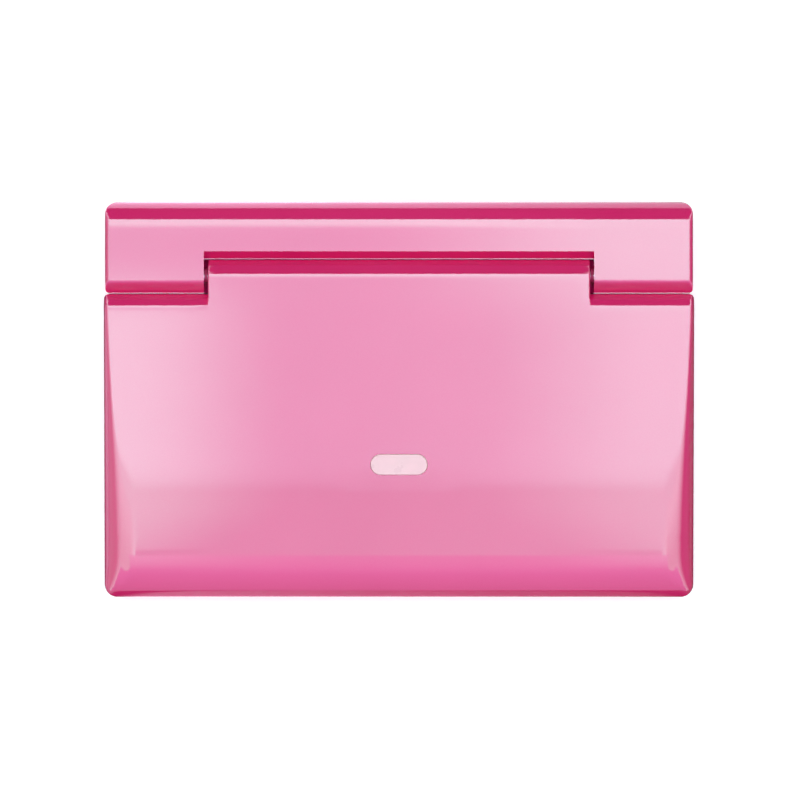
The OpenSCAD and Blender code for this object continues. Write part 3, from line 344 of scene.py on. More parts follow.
def dressed(name, data, body, slot, *replaced):
    # A finished mesh as a piece of the model.
    data.materials.clear()
    data.materials.append(finishes[slot])
    data.shade_smooth()
    data.set_sharp_from_angle(angle=math.radians(making["sharp"]))
    piece = bpy.data.objects.new(name, data)
    bpy.context.scene.collection.objects.link(piece)
    piece.modifiers.new("evenShading", "WEIGHTED_NORMAL").keep_sharp = True
    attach(piece, body)
    if replaced:
        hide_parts(*replaced)


def solved(piece):
    # The piece with its modifiers worked out, as a plain mesh.
    data = bpy.data.meshes.new_from_object(piece.evaluated_get(bpy.context.evaluated_depsgraph_get()))
    bpy.data.objects.remove(piece)
    return data


def grown(name, data, sizes, slot, grow):
    # Geometry Nodes on data: grow(bench, geometry, sizes) gives the new geometry, and each size is an input.
    tree = bpy.data.node_groups.new(name, "GeometryNodeTree")
    tree.interface.new_socket("Geometry", in_out="OUTPUT", socket_type="NodeSocketGeometry")
    tree.interface.new_socket("Geometry", in_out="INPUT", socket_type="NodeSocketGeometry")
    sockets = {label: tree.interface.new_socket(label, in_out="INPUT", socket_type="NodeSocketFloat")
               for label in sizes}
    bench = Bench(tree)
    entry = tree.nodes.new("NodeGroupInput")
    given = {label: Wire(bench, entry.outputs[label]) for label in sizes}
    result = grow(bench, Wire(bench, entry.outputs["Geometry"]), given)
    real = bench.node("GeometryNodeRealizeInstances", {}, [result])
    painted = bench.node("GeometryNodeSetMaterial", {}, {"Geometry": real, "Material": finishes[slot]})
    bench.node("NodeGroupOutput", {}, [painted])
    carrier = bpy.data.objects.new(name, data)
    bpy.context.scene.collection.objects.link(carrier)
    modifier = carrier.modifiers.new(name, "NODES")
    modifier.node_group = tree
    for label, socket in sockets.items():
        modifier[socket.identifier] = float(sizes[label])
    return solved(carrier)


def steps(start, end, count):
    return [start + (end - start) * i / count for i in range(count + 1)]


def run(start, *stretches):
    # Places from start on; each stretch has its end and its number of steps.
    places = [start]
    for end, count in stretches:
        places += steps(start, end, count)[1:]
        start = end
    return places


def roundSteps(start, end, count, close="end"):
    # Places that close up towards the end, or towards the start, as on a quarter circle.
    turns = [math.pi / 2 * i / count for i in range(count + 1)]
    shares = [math.sin(turn) if close == "end" else 1 - math.cos(turn) for turn in turns]
    return [start + (end - start) * share for share in shares]


def sheetsOf(name, *sheets):
    # One mesh of several sheets, each a mark and rows of points; the mark is kept as "rolled".
    points, faces, marks = [], [], []
    for mark, rows in sheets:
        first, width = len(points), len(rows[0])
        points += [point for row in rows for point in row]
        marks += [float(mark)] * (len(points) - first)
        faces += [(first + r * width + c, first + r * width + c + 1,
                   first + (r + 1) * width + c + 1, first + (r + 1) * width + c)
                  for r in range(len(rows) - 1) for c in range(width - 1)]
    made = mesh(name, points, faces)
    made.attributes.new("rolled", "FLOAT", "POINT").data.foreach_set("value", marks)
    return made


def acrossRow(outer, middle, y):
    # A whole row of a plan: the outer columns mirrored, the middle ones and the outer ones.
    return [(x, y, 0) for x in [-c for c in reversed(outer)][:-1] + middle + outer[1:]]


def sideSheets(mark, rows, columnsAt):
    # The two sheets that flank a tab or a notch.
    return [(mark, [[(side * x, y, 0) for x in columnsAt(y)][::side] for y in rows]) for side in (-1, 1)]


def raisedBy(height):
    # Sets each point of a plan to its height.
    def grow(bench, geometry, size):
        x, y, z = bench.axes(bench.node("GeometryNodeInputPosition"))
        rolled = bench.node("GeometryNodeInputNamedAttribute", {"data_type": "FLOAT"}, {"Name": "rolled"},
                            output="Attribute")
        spot = bench.node("ShaderNodeCombineXYZ", {}, [x, y, height(size, x, y, rolled)])
        return bench.node("GeometryNodeSetPosition", {}, {"Geometry": geometry, "Position": spot})
    return grow


def arc(radius, reach):
    # The rise of a quarter roll of this radius at a distance in from its edge, less the radius.
    left = (radius - reach).maths("MAXIMUM", 0.0)
    return (radius ** 2 - left ** 2).maths("MAXIMUM", 0.0).maths("SQRT") - radius


def bevels(distance, first, second, soft):
    # The drop of two flat bevels one after the other; each has how far in it begins and its slope.
    farIn = -10 * mm
    drop = 0 - (first[0] - distance).maths("MAXIMUM", farIn) * first[1]
    level = (first[0] - second[0]) * first[1]
    steep = 0 - level - (second[0] - distance) * second[1]
    return softer(softer(drop * 0, drop, soft), steep, soft)


def softer(first, second, soft):
    # The lower of two heights, with a rounded meeting.
    share = ((first - second) / soft * 0.5 + 0.5).clamped()
    return second * share + first * (1 - share) - soft * share * (1 - share)


def roundCorner(fromSide, fromEnd, radius, sideAt, endAt, soft):
    # The height near a plan corner, where the end's roll turns into the side's.
    inX = (radius - fromSide).maths("MAXIMUM", 0.0)
    inY = (radius - fromEnd).maths("MAXIMUM", 0.0)
    straight = fromEnd.maths("GREATER_THAN", radius)
    reach = radius - (inX * inX + inY * inY).maths("SQRT")
    reach = (reach + straight * (fromSide - reach)).maths("MAXIMUM", 0.0)
    turn = inX.maths("ARCTAN2", inY) * (2 / math.pi)
    share = turn * turn * (3 - turn * 2)
    share = share + straight * (1 - share)
    endHere = endAt(reach) + soft
    return softer(endHere + share * (sideAt(reach) - endHere), endAt(fromEnd), soft)


def nearest(shape, x, y, z):
    return min(shape.verts, key=lambda v: (v.co.x - x) ** 2 + (v.co.y - y) ** 2 + (v.co.z - z) ** 2)


def borderFrom(start, finish, towards):
    # The border's points from start to finish; towards ranks the two ways to set out.
    path = [start]
    for step in range(making["longestBorder"]):
        ahead = [e.other_vert(path[-1]) for e in path[-1].link_edges if e.is_boundary]
        ahead = [v for v in ahead if len(path) < 2 or v != path[-2]]
        path.append(min(ahead, key=towards) if len(path) == 1 else ahead[0])
        if path[-1] == finish:
            return path
    raise ValueError("the border doesn't reach its end")


def hang(shape, path, levels, inOpening=None):
    # Walls below a run of border points; levels(point) lists each ring's height and its step inwards.
    columns = []
    for i, point in enumerate(path):
        before, after = path[max(i - 1, 0)].co, path[min(i + 1, len(path) - 1)].co
        along = (after - before).to_2d().normalized()
        spots = [(point.co.x - along.y * step, point.co.y + along.x * step, z)
                 for z, step in levels(point.co)]
        columns.append([point] + [shape.verts.new(spot) for spot in spots])
    drawDown(shape, columns, inOpening)


def drawDown(shape, columns, inOpening=None):
    # Faces between neighbouring columns of points, but for those whose middle is in an opening.
    for left, right in zip(columns, columns[1:]):
        for a, b, c, d in zip(left, left[1:], right, right[1:]):
            if not (inOpening and inOpening((a.co + b.co + c.co + d.co) / 4)):
                shape.faces.new((a, b, d, c))


def ring(shape, spots):
    # A closed run of points.
    made = [shape.verts.new(spot) for spot in spots]
    return [shape.edges.new((made[i], made[(i + 1) % len(made)])) for i in range(len(made))]


def circle(count, radius):
    # Points round a circle, as pairs.
    turns = [2 * math.pi * i / count for i in range(count)]
    return [(radius * math.cos(turn), radius * math.sin(turn)) for turn in turns]


def bridge(shape, rings):
    # Faces between closed rings of points, one above the other.
    for low, high in zip(rings, rings[1:]):
        for i, corner in enumerate(low):
            after = (i + 1) % len(low)
            shape.faces.new((corner, low[after], high[after], high[i]))


def fitted(columns, sizes, y, frontCorner, rearCorner):
    # Columns spaced for the full half width; at a rounded corner the outer ones are drawn in to its edge.
    half = edge = sizes["halfWidth"]
    for radius, depth in ((rearCorner, sizes["rear"] - y), (frontCorner, y - sizes["front"])):
        if depth < radius:
            edge = half - radius + math.sqrt(max(radius ** 2 - (radius - depth) ** 2, 0))
    hold = half - sizes["fitBand"]
    return [x if x < hold else hold + (x - hold) * (edge - hold) / (half - hold) for x in columns]


def closeSides(shape, sizes, half, count, onSide):
    # Fills the flat side at half to the left and to the right, each round a hole for the hinge pin.
    for flat in (-half, half):
        border = [e for e in shape.edges if e.is_boundary
                  and all(abs(v.co.x - flat) < making["same"] and onSide(v.co) for v in e.verts)]
        hole = ring(shape, [(flat, sizes["pinY"] + y, sizes["pinZ"] + z)
                            for y, z in circle(count, sizes["pinHole"])])
        bmesh.ops.triangle_fill(shape, edges=border + hole, use_beauty=True)


def pillSpots(width, depth, x, y, z, count=14):
    # A stadium outline, seen from above.
    half, radius = (width - depth) / 2, depth / 2
    return [(x + side * half + radius * math.cos(turn) * side, y + radius * math.sin(turn) * side, z)
            for side in (1, -1) for turn in steps(-math.pi / 2, math.pi / 2, count)]


def closed(shape, name, wall=0.0):
    # The shape with its doubles merged, its faces outwards and, if asked, a wall of this thickness.
    bmesh.ops.remove_doubles(shape, verts=shape.verts, dist=making["merge"])
    bmesh.ops.recalc_face_normals(shape, faces=shape.faces)
    data = bpy.data.meshes.new(name)
    shape.to_mesh(data)
    shape.free()
    if not wall:
        return data
    carrier = bpy.data.objects.new(name, data)
    bpy.context.scene.collection.objects.link(carrier)
    solid = carrier.modifiers.new("wall", "SOLIDIFY")
    solid.thickness, solid.offset = wall, -1
    return solved(carrier)


# The lid

lid = sized(
    halfWidth=78, front=-52.35, rear=27.85, rim=14.6, top=25, corner=3.5, rearCorner=1.2, wall=1.6,
    rollDepth=13, rollRadius=16, nose=2,                  # the front's roll
    sideRadius=6, crease=3.2, creaseIn=0.7, creaseBand=5, fitBand=12,        # the sides
    softRear=0.25, softFront=1.1, softSide=2.4, sideFrom=8.5, sideTo=4.5,    # how round the crease is
    bevel=2.8, bevelSteep=1.5, bevelSoft=0.16, crown=25, crownDepth=1.5, wingFade=3, edgeFade=2,
    leastEdge=0.001, tabHalf=50.4, tabEdge=0.4, tabBevel=3.5, tabRear=36.88,
    barrelY=33.58, barrelZ=21.7, barrel=3.3, pinY=32.78, pinZ=22.6, pinHole=1.76,
    rimRise=0.3, rimStep=0.25, rimEnd=4,        # the rim's chamfer
    badgeY=-17.15, badgeWidth=15.44, badgeDepth=5.84, badgeSunk=0.6)
lid["pitch"], lid["crownReach"], lid["upperRing"] = math.tan(math.radians(2.87)), 1.4, 0.75
lid["bevelSlope"], lid["steepSlope"] = 0.5, 1.43         # the rear edge's two bevels
lid["tabSlope"], lid["tabSteep"] = 0.55, 1.467           # and the tab's
lidRows = {"corner": 14, "roll": 16, "deck": 44, "crown": 6, "bend": 12, "flat": 4, "steepBend": 14,
           "steep": 5, "tabStep": 4, "tabEdge": 6, "middle": 16, "top": 8, "crease": 14, "side": 18,
           "barrel": 10, "hole": 32}


def lidHeight(size, x, y, rolled):
    # The height of the lid's skin over a point of its plan.
    behind = size["rear"] - y
    sideTop = size["top"] + size["crease"] - behind * size["pitch"]
    rollZ = size["top"] - size["rollRadius"]
    reach = size["rollRadius"] - size["nose"]
    across = size["rollDepth"] - size["nose"]
    noseZ = rollZ + (reach ** 2 - across ** 2).maths("SQRT")
    tangent = size["nose"] - across / reach * size["nose"]

    def sideAt(distance):
        return sideTop + arc(size["sideRadius"], distance)

    def endAt(distance):
        ahead = (size["rollDepth"] - distance).maths("MAXIMUM", 0.0)
        roll = rollZ + (size["rollRadius"] ** 2 - ahead ** 2).maths("SQRT")
        nose = noseZ + size["nose"] + arc(size["nose"], distance)
        return roll + distance.maths("LESS_THAN", tangent) * (nose - roll)

    along = behind / (size["rear"] - size["front"])
    inner = ((size["sideFrom"] - size["halfWidth"] + abs(x)) / (size["sideFrom"] - size["sideTo"])).clamped()
    inner = inner * inner * (3 - inner * 2)
    soft = size["softRear"] + (size["softFront"] - size["softRear"]) * along
    soft = soft + size["softSide"] * along * along * along * inner
    skin = roundCorner(size["halfWidth"] - abs(x), y - size["front"], size["corner"], sideAt, endAt, soft)
    wing = bevels(size["rear"] - y, (size["bevel"], size["bevelSlope"]),
                  (size["bevelSteep"], size["steepSlope"]), size["bevelSoft"])
    tab = bevels(size["tabRear"] - y, (size["tabBevel"], size["tabSlope"]),
                 (size["bevelSteep"], size["tabSteep"]), size["bevelSoft"])
    outer = ((abs(x) - size["tabHalf"]) / size["wingFade"]).clamped()
    wing = wing - crowned(size, size["rear"] - y - size["bevel"]) * outer
    tab = tab - crowned(size, size["tabRear"] - y - size["tabBevel"])
    begun = ((y - (size["rear"] - size["bevel"])) / size["edgeFade"]).clamped()
    edge = arc(size["tabEdge"] * begun + size["leastEdge"], size["tabHalf"] - abs(x)) * begun
    return skin + wing * rolled + (tab + edge) * (1 - rolled)


def crowned(size, distance):
    # A faint fall of the flat top over the last stretch before a bevel.
    near = (size["crownDepth"] - distance).maths("MAXIMUM", 0.0)
    near = near.maths("MINIMUM", size["crownDepth"] * size["crownReach"])
    return near * near / (2 * size["crown"])


def lidColumns(y):
    # From the tab's side out to the edge, close together along the crease and down the side.
    drop = lid["sideRadius"] - lid["crease"] + lid["pitch"] * (lid["rear"] - y)
    reach = math.sqrt(max(lid["sideRadius"] ** 2 - drop ** 2, 0))
    crease = min(lid["halfWidth"] - lid["sideRadius"] + reach, lid["halfWidth"] - lid["creaseIn"])
    band = crease - lid["creaseBand"]
    columns = run(lid["tabHalf"], (band, lidRows["top"]), (crease, lidRows["crease"]))
    columns += roundSteps(crease, lid["halfWidth"], lidRows["side"])[1:]
    return fitted(columns, lid, y, lid["corner"], lid["rearCorner"])


def lidPlan():
    # The lid seen from above, with rows close together where it bends.
    bend = 3 * lid["bevelSoft"]
    start = lid["rear"] - lid["bevel"] - lid["crownDepth"]
    fore = roundSteps(lid["front"], lid["front"] + lid["corner"], lidRows["corner"], "start")
    fore += run(fore[-1], (lid["front"] + lid["rollDepth"], lidRows["roll"]), (start, lidRows["deck"]))[1:]

    def bevelled(rear, first):
        steep = rear - lid["bevelSteep"]
        edge = first + lid["crownDepth"]
        return run(first, (edge - bend, lidRows["crown"]), (edge + bend, lidRows["bend"]),
                   (steep - bend, lidRows["flat"]), (steep + bend, lidRows["steepBend"]),
                   (rear, lidRows["steep"]))

    turned = bevelled(lid["rear"], start)
    late = lid["tabRear"] - lid["tabBevel"] - lid["crownDepth"]
    behind = turned + steps(lid["rear"], late, lidRows["tabStep"])[1:]
    behind += bevelled(lid["tabRear"], late)[1:]
    edge = roundSteps(lid["tabHalf"] - lid["tabEdge"], lid["tabHalf"], lidRows["tabEdge"])
    half = steps(0, edge[0], lidRows["middle"]) + edge[1:]
    middle = [-x for x in reversed(half[1:])] + half
    deck = [acrossRow(lidColumns(y), middle, y) for y in fore]
    tab = [[(x, y, 0) for x in middle] for y in behind]
    return sheetsOf("lidPlan", (0, deck), (0, tab), *sideSheets(1, turned, lidColumns))


def lidTab(shape):
    # The round underside of the tab's barrel, and the wall below it.
    row = [v for v in shape.verts if abs(v.co.y - lid["tabRear"]) < making["same"]]
    row.sort(key=lambda v: v.co.x)
    profile = [(lid["barrelY"] + lid["barrel"] * math.sin(turn),
                lid["barrelZ"] + lid["barrel"] * math.cos(turn))
               for turn in steps(math.pi / 2, math.pi, lidRows["barrel"])[1:]]
    profile += [(lid["rear"], lid["barrelZ"] - lid["barrel"]), (lid["rear"], lid["rim"] + lid["rimRise"]),
                (lid["rear"] - lid["rimStep"], lid["rim"])]
    drawDown(shape, [[point] + [shape.verts.new((point.co.x, *spot)) for spot in profile] for point in row])


def lidShell():
    shape = bmesh.new()
    shape.from_mesh(grown("lidSkin", lidPlan(), lid, "pink_lacquer", raisedBy(lidHeight)))
    bmesh.ops.remove_doubles(shape, verts=shape.verts, dist=making["merge"])
    wingZ = lid["top"] - (lid["bevel"] - lid["bevelSteep"]) * lid["bevelSlope"]
    wingZ -= lid["bevelSteep"] * lid["steepSlope"]
    under = (lid["barrelZ"] - lid["barrel"] - lid["rim"]) / (wingZ - lid["rim"])

    def levels(point):
        # Two rings on the way down, and a small chamfer at the rim, but not near the rear.
        full = point.z - lid["rim"]
        inward = lid["rimStep"] if point.y < lid["rear"] - lid["rimEnd"] else 0
        return [(lid["rim"] + full * lid["upperRing"], 0), (lid["rim"] + full * under, 0),
                (lid["rim"] + lid["rimRise"], 0), (lid["rim"], inward)]

    ends = [nearest(shape, side * lid["tabHalf"], lid["rear"], wingZ) for side in (-1, 1)]
    hang(shape, borderFrom(ends[0], ends[1], lambda v: v.co.x), levels)
    lidTab(shape)
    bmesh.ops.remove_doubles(shape, verts=shape.verts, dist=making["same"])
    low = lid["rim"] + making["clear"]
    closeSides(shape, lid, lid["tabHalf"], lidRows["hole"], lambda spot: spot.z > low)
    badgeSeat(shape)
    dressed("lidShell", closed(shape, "lidShell", lid["wall"]), "lid", "pink_lacquer", "lid_shell")


def badgeSeat(shape):
    # A shallow pocket that the badge is glued into.
    def around(point):
        return abs(point.x) < lid["badgeWidth"] and abs(point.y - lid["badgeY"]) < lid["badgeDepth"]

    cut = [face for face in shape.faces if around(face.calc_center_median())]
    border = [e for face in cut for e in face.edges if any(other not in cut for other in e.link_faces)]
    bmesh.ops.delete(shape, geom=cut, context="FACES")
    lip = ring(shape, pillSpots(lid["badgeWidth"], lid["badgeDepth"], 0, lid["badgeY"], lid["top"]))
    bmesh.ops.triangle_fill(shape, edges=border + lip, use_beauty=True)
    wall = bmesh.ops.extrude_edge_only(shape, edges=lip)["geom"]
    low = [v for v in wall if isinstance(v, bmesh.types.BMVert)]
    for point in low:
        point.co.z -= lid["badgeSunk"]
    shape.faces.new(sorted(low, key=lambda v: math.atan2(v.co.y - lid["badgeY"], v.co.x)))


lidShell()
print("lid ready")


# The rear bar

bar = sized(
    halfWidth=77.6, front=28.25, rear=52.35, foot=9.0, top=24.2, corner=3.2, frontCorner=0.8,
    wall=1.6, soft=0.25, bevel=3.1, bevelBand=0.4, rearRadius=5, crown=35, crownDepth=2.1,
    sideRadius=1.2, fitBand=4,
    notchHalf=51.5, notchRear=37.31, notchEdge=1.8, trough=17.4, troughRear=14.4,
    ledge=0.2, ledgeTop=21.1, ledgeLow=20.5, ledgeEnd=1.2, pinY=32.78, pinZ=22.6, pinHole=1.12,
    buttonX=46.4, buttonY=41.5, buttonTop=16.85, portFrom=29.3, portTo=38.7, portTop=12.45)
bar["bevelSlope"], bar["notchSlope"] = 0.85, 1.43
barRows = {"corner": 5, "bevel": 4, "bend": 10, "fore": 6, "rear": 2, "deck": 8, "roll": 20, "lip": 10,
           "middle": 10, "port": 3, "button": 2, "top": 8, "sideTop": 5, "side": 10, "wall": 5, "hole": 28}


def barHeight(size, x, y, rolled):
    # The height of the bar's skin over a point of its plan; the notch's edge is marked as rolled.
    def sideAt(distance):
        return size["top"] + arc(size["sideRadius"], distance)

    def endAt(distance):
        # The rear roll, with a faint crown before it.
        near = (size["rearRadius"] + size["crownDepth"] - distance).clamped()
        return size["top"] + arc(size["rearRadius"], distance) - near * near / (2 * size["crown"])

    skin = roundCorner(size["halfWidth"] - abs(x), size["rear"] - y, size["corner"],
                       sideAt, endAt, size["soft"])
    fore = size["top"] - (size["bevel"] - (y - size["front"])) * size["bevelSlope"]
    lip = (size["notchEdge"] - (y - size["notchRear"])) * size["notchSlope"] * rolled
    return softer(skin, fore, size["soft"]) - lip


def barColumns(y):
    # From the notch's side out to the edge.
    hold = bar["halfWidth"] - bar["fitBand"]
    roll = bar["halfWidth"] - bar["sideRadius"]
    columns = run(bar["notchHalf"], (hold, barRows["top"]), (roll, barRows["sideTop"]))
    columns += roundSteps(roll, bar["halfWidth"], barRows["side"])[1:]
    return fitted(columns, bar, y, bar["frontCorner"], bar["corner"])


def barPlan():
    # The bar seen from above, with lines where the button's and the port's openings begin.
    edge = bar["notchRear"] + bar["notchEdge"]
    fore = roundSteps(bar["front"], bar["front"] + bar["frontCorner"], barRows["corner"], "start")
    bevel = bar["front"] + bar["bevel"]
    fore += run(fore[-1], (bevel - bar["bevelBand"], barRows["bevel"]),
                (bevel + bar["bevelBand"], barRows["bend"]), (edge, barRows["fore"]))[1:]
    back = run(edge, (bar["buttonY"], barRows["rear"]), (bar["rear"] - bar["rearRadius"], barRows["deck"]))
    back += roundSteps(back[-1], bar["rear"], barRows["roll"])[1:]
    half = run(0, (bar["portFrom"], barRows["middle"]), (bar["portTo"], barRows["port"]),
               (bar["buttonX"], barRows["port"]), (bar["notchHalf"], barRows["button"]))
    middle = [-x for x in reversed(half[1:])] + half
    whole = [acrossRow(barColumns(y), middle, y) for y in back]
    lip = [[(x, y, 0) for x in middle] for y in roundSteps(edge, bar["notchRear"], barRows["lip"])]
    return sheetsOf("barPlan", (0, whole), (1, lip[::-1]), *sideSheets(0, fore, barColumns))


def rearBar():
    shape = bmesh.new()
    shape.from_mesh(grown("barSkin", barPlan(), bar, "pink_lacquer", raisedBy(barHeight)))
    bmesh.ops.remove_doubles(shape, verts=shape.verts, dist=making["merge"])
    low = [(bar[level], 0) for level in ("trough", "buttonTop", "portTop", "foot")]
    ledge = [(bar["ledgeTop"], 0), (bar["ledgeTop"], bar["ledge"]),
             (bar["ledgeLow"], bar["ledge"]), (bar["ledgeLow"], 0)]      # fine, down in the gap to the lid

    def inOpening(spot):
        button = abs(spot.x) > bar["buttonX"] and spot.z < bar["buttonTop"]
        port = bar["portFrom"] < spot.x < bar["portTo"] and spot.z < bar["portTop"]
        return spot.y > bar["buttonY"] and (button or port)

    foreZ = bar["top"] - bar["bevel"] * bar["bevelSlope"]
    ends = [nearest(shape, side * bar["notchHalf"], bar["front"], foreZ) for side in (-1, 1)]

    def levels(point):
        if point.y < bar["front"] + making["same"] and abs(point.x) < bar["halfWidth"] - bar["ledgeEnd"]:
            return ledge + low
        fall = (point.z - bar["trough"]) / barRows["wall"]
        return [(point.z - fall * i, 0) for i in range(1, barRows["wall"])] + low

    hang(shape, borderFrom(ends[0], ends[1], lambda v: v.co.x), levels, inOpening)
    lip = [v for v in shape.verts if abs(v.co.y - bar["notchRear"]) < making["same"]
           and abs(v.co.x) < bar["notchHalf"] + making["same"] and v.co.z < bar["top"] - making["clear"]]
    lip.sort(key=lambda v: v.co.x)
    columns = []
    for point in lip:
        down = [(point.co.x, bar["notchRear"] - step, z) for z, step in ledge + [(bar["troughRear"], 0)]]
        down += [(point.co.x, bar["front"], z) for z, step in low]
        columns.append([point] + [shape.verts.new(spot) for spot in down])
    drawDown(shape, columns)
    bmesh.ops.remove_doubles(shape, verts=shape.verts, dist=making["merge"])

    def onSide(spot):
        edge = bar["notchRear"] + bar["notchEdge"]
        return spot.z > bar["troughRear"] - making["same"] and spot.y < edge + making["same"]

    closeSides(shape, bar, bar["notchHalf"], barRows["hole"], onSide)
    dressed("rearBar", closed(shape, "rearBar", bar["wall"]), "base", "pink_lacquer", "rear_bar")


rearBar()
print("rear bar ready")


# Small outer pieces

def turned(name, profile, places, count=40):
    # Round solids about upright axes: profile lists radius and height from the bottom's middle to the top's.
    shape = bmesh.new()
    for x, y in places:
        rings = [[shape.verts.new((x + east, y + north, z)) for east, north in circle(count, radius)]
                 for radius, z in profile]
        bridge(shape, rings)
        shape.faces.new(rings[0][::-1])
        shape.faces.new(rings[-1])
    return closed(shape, name)


badge = sized(width=15.1, depth=5.5, y=-17.15, low=24.41, high=25.0, edge=0.25)
badge["rounding"] = ((0, 1), (0.3, 0.35), (1, 0))      # inwards and down from the top, as shares of the edge


def lidBadge():
    # A plain inlay with a softened edge, in its pocket with a fine gap all round.
    shape = bmesh.new()
    levels = [(0, badge["low"])] + [(inward * badge["edge"], badge["high"] - down * badge["edge"])
                                    for inward, down in badge["rounding"]]
    rings = []
    for step, z in levels:
        spots = pillSpots(badge["width"] - 2 * step, badge["depth"] - 2 * step, 0, badge["y"], z)
        rings.append([shape.verts.new(spot) for spot in spots])
    bridge(shape, rings)
    shape.faces.new(rings[0][::-1])
    shape.faces.new(rings[-1])
    dressed("lidBadge", closed(shape, "lidBadge"), "lid", "badge_inlay", "lid_badge")


lidBadge()


foot = sized(x=66, y=43.95, radius=4, high=1.2, edge=0.45, dish=0.12)
foot["dishAt"], foot["edgeSteps"] = (0.05, 0.25, 0.5, 0.7), 6


def rubberFeet():
    # Four round pads, slightly dished underneath.
    profile = [(foot["radius"] * share, foot["dish"] * (1 - share * share) ** 2) for share in foot["dishAt"]]
    profile += [(foot["radius"] - foot["edge"] * (1 - math.sin(turn)), foot["edge"] * (1 - math.cos(turn)))
                for turn in steps(0, math.pi / 2, foot["edgeSteps"])]
    profile += [(foot["radius"], foot["high"])]
    places = [(east * foot["x"], north * foot["y"]) for east in (-1, 1) for north in (-1, 1)]
    dressed("rubberFeet", turned("rubberFeet", profile, places), "base", "rubber", "rubber_feet")


rubberFeet()


screw = sized(radius=1.9, cover=1.6, high=0.9, low=2.25, shaft=0.8, slotHalf=0.95, slotWide=0.2,
              slotDeep=0.55)
screw["sides"], screw["slotTaper"], screw["turn"] = 24, 0.75, 0.4
screw["rounding"] = ((0.88, 0), (0.97, 0.06 * mm), (1.0, 0.2 * mm))       # shares of the radius, and heights
screw["casePlaces"] = ((70.5, -37.95), (70.5, 24.05), (67.175, 34.05))    # in millimetres, on each side
screw["coverPlaces"] = ((38.4, -13.175),)


def screwHead(radius):
    # A screw head that faces down, with a cross recess and the start of its shaft.
    shape = bmesh.new()
    shaft = screw["shaft"] / radius
    profile = [*screw["rounding"], (1.0, screw["high"]), (shaft, screw["high"]), (shaft, screw["low"])]
    rings = [[shape.verts.new((x * share, y * share, z)) for x, y in circle(screw["sides"], radius)]
             for share, z in profile]
    bridge(shape, rings)
    shape.faces.new(rings[-1])
    long, wide = screw["slotHalf"], screw["slotWide"]
    arms = [(long, -wide), (long, wide), (wide, wide)]
    quarters = ((1, 0), (0, 1), (-1, 0), (0, -1))
    cross = [(x * c - y * s, x * s + y * c, 0) for c, s in quarters for x, y in arms]
    lip = ring(shape, cross)
    rim = [e for e in shape.edges if e.is_boundary and e not in lip]
    bmesh.ops.triangle_fill(shape, edges=rim + lip, use_beauty=True)
    wall = bmesh.ops.extrude_edge_only(shape, edges=lip)["geom"]
    sunk = [v for v in wall if isinstance(v, bmesh.types.BMVert)]
    for point in sunk:
        point.co = (point.co.x * screw["slotTaper"], point.co.y * screw["slotTaper"], screw["slotDeep"])
    shape.faces.new(sorted(sunk, key=lambda v: math.atan2(v.co.y, v.co.x)))
    return closed(shape, "screwHead")


def copiesOf(data, turn):
    # Gives the object that holds data, and the rule that puts a turned copy of it on each point of a mesh.
    holder = bpy.data.objects.new("holder", data)
    bpy.context.scene.collection.objects.link(holder)

    def grow(bench, geometry, size):
        info = bench.node("GeometryNodeObjectInfo", {}, {"Object": holder}, output="Geometry")
        spots = bench.node("GeometryNodeMeshToPoints", {}, {"Mesh": geometry})
        return bench.node("GeometryNodeInstanceOnPoints", {},
                          {"Points": spots, "Instance": info, "Rotation": (0.0, 0.0, turn)})
    return holder, grow


def screws(name, node, radius, places):
    holder, grow = copiesOf(screwHead(radius), screw["turn"])
    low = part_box(node)[0][2]
    spots = [(side * x * mm, y * mm, low) for side in (-1, 1) for x, y in places]
    data = grown(name, mesh(name, spots, []), {}, "steel", grow)
    bpy.data.objects.remove(holder)
    dressed(name, data, "base", "steel", node)


screws("caseScrews", "case_screws", screw["radius"], screw["casePlaces"])
screws("coverScrews", "cover_screws", screw["cover"], screw["coverPlaces"])


# Ribs round the thumb pad's rim

grip = sized(x=-61, y=8.054, radius=7.1, top=14.1, long=0.9, wide=0.34)
grip["ribs"], grip["ribSides"] = 44, 8


def gripRibs(bench, geometry, size):
    # Small rods that lie outwards on a circle.
    rim = bench.node("GeometryNodeMeshCircle", {}, {"Vertices": grip["ribs"], "Radius": size["radius"]})
    rib = bench.node("GeometryNodeMeshCylinder", {"fill_type": "NGON"},
                     {"Vertices": grip["ribSides"], "Radius": size["wide"] / 2, "Depth": size["long"]})
    laid = bench.node("GeometryNodeTransform", {}, {"Geometry": rib, "Rotation": (0.0, math.pi / 2, 0.0)})
    x, y = bench.axes(bench.node("GeometryNodeInputPosition"))[:2]
    turn = bench.node("ShaderNodeCombineXYZ", {}, [0.0, 0.0, y.maths("ARCTAN2", x)])
    ribs = bench.node("GeometryNodeInstanceOnPoints", {},
                      {"Points": rim, "Instance": laid, "Rotation": turn})
    place = bench.node("ShaderNodeCombineXYZ", {}, [size["x"], size["y"], size["top"]])
    return bench.node("GeometryNodeTransform", {}, {"Geometry": ribs, "Translation": place})


padGrip = grown("padGrip", mesh("padGrip", [], []), grip, "grey_plastic", gripRibs)
dressed("padGrip", padGrip, "thumb_pad", "grey_plastic")


# Softened edges on the moulded pieces that keep their own shape

softEdges = {"width": 0.16 * mm, "segments": 2, "weld": 0.001 * mm, "from": 42, "sharp": 35}   # degrees
moulded = ["bottom_case", "control_deck", "lid_bezel", "button_top", "button_right", "button_bottom",
           "button_left", "select_button", "start_button", "home_button", "d_pad", "thumb_pad",
           "shoulder_left", "shoulder_right", "volume_slider", "power_button", "card_flap", "battery_cover",
           "lid_bumpers", "lower_window", "upper_window", "stylus"]


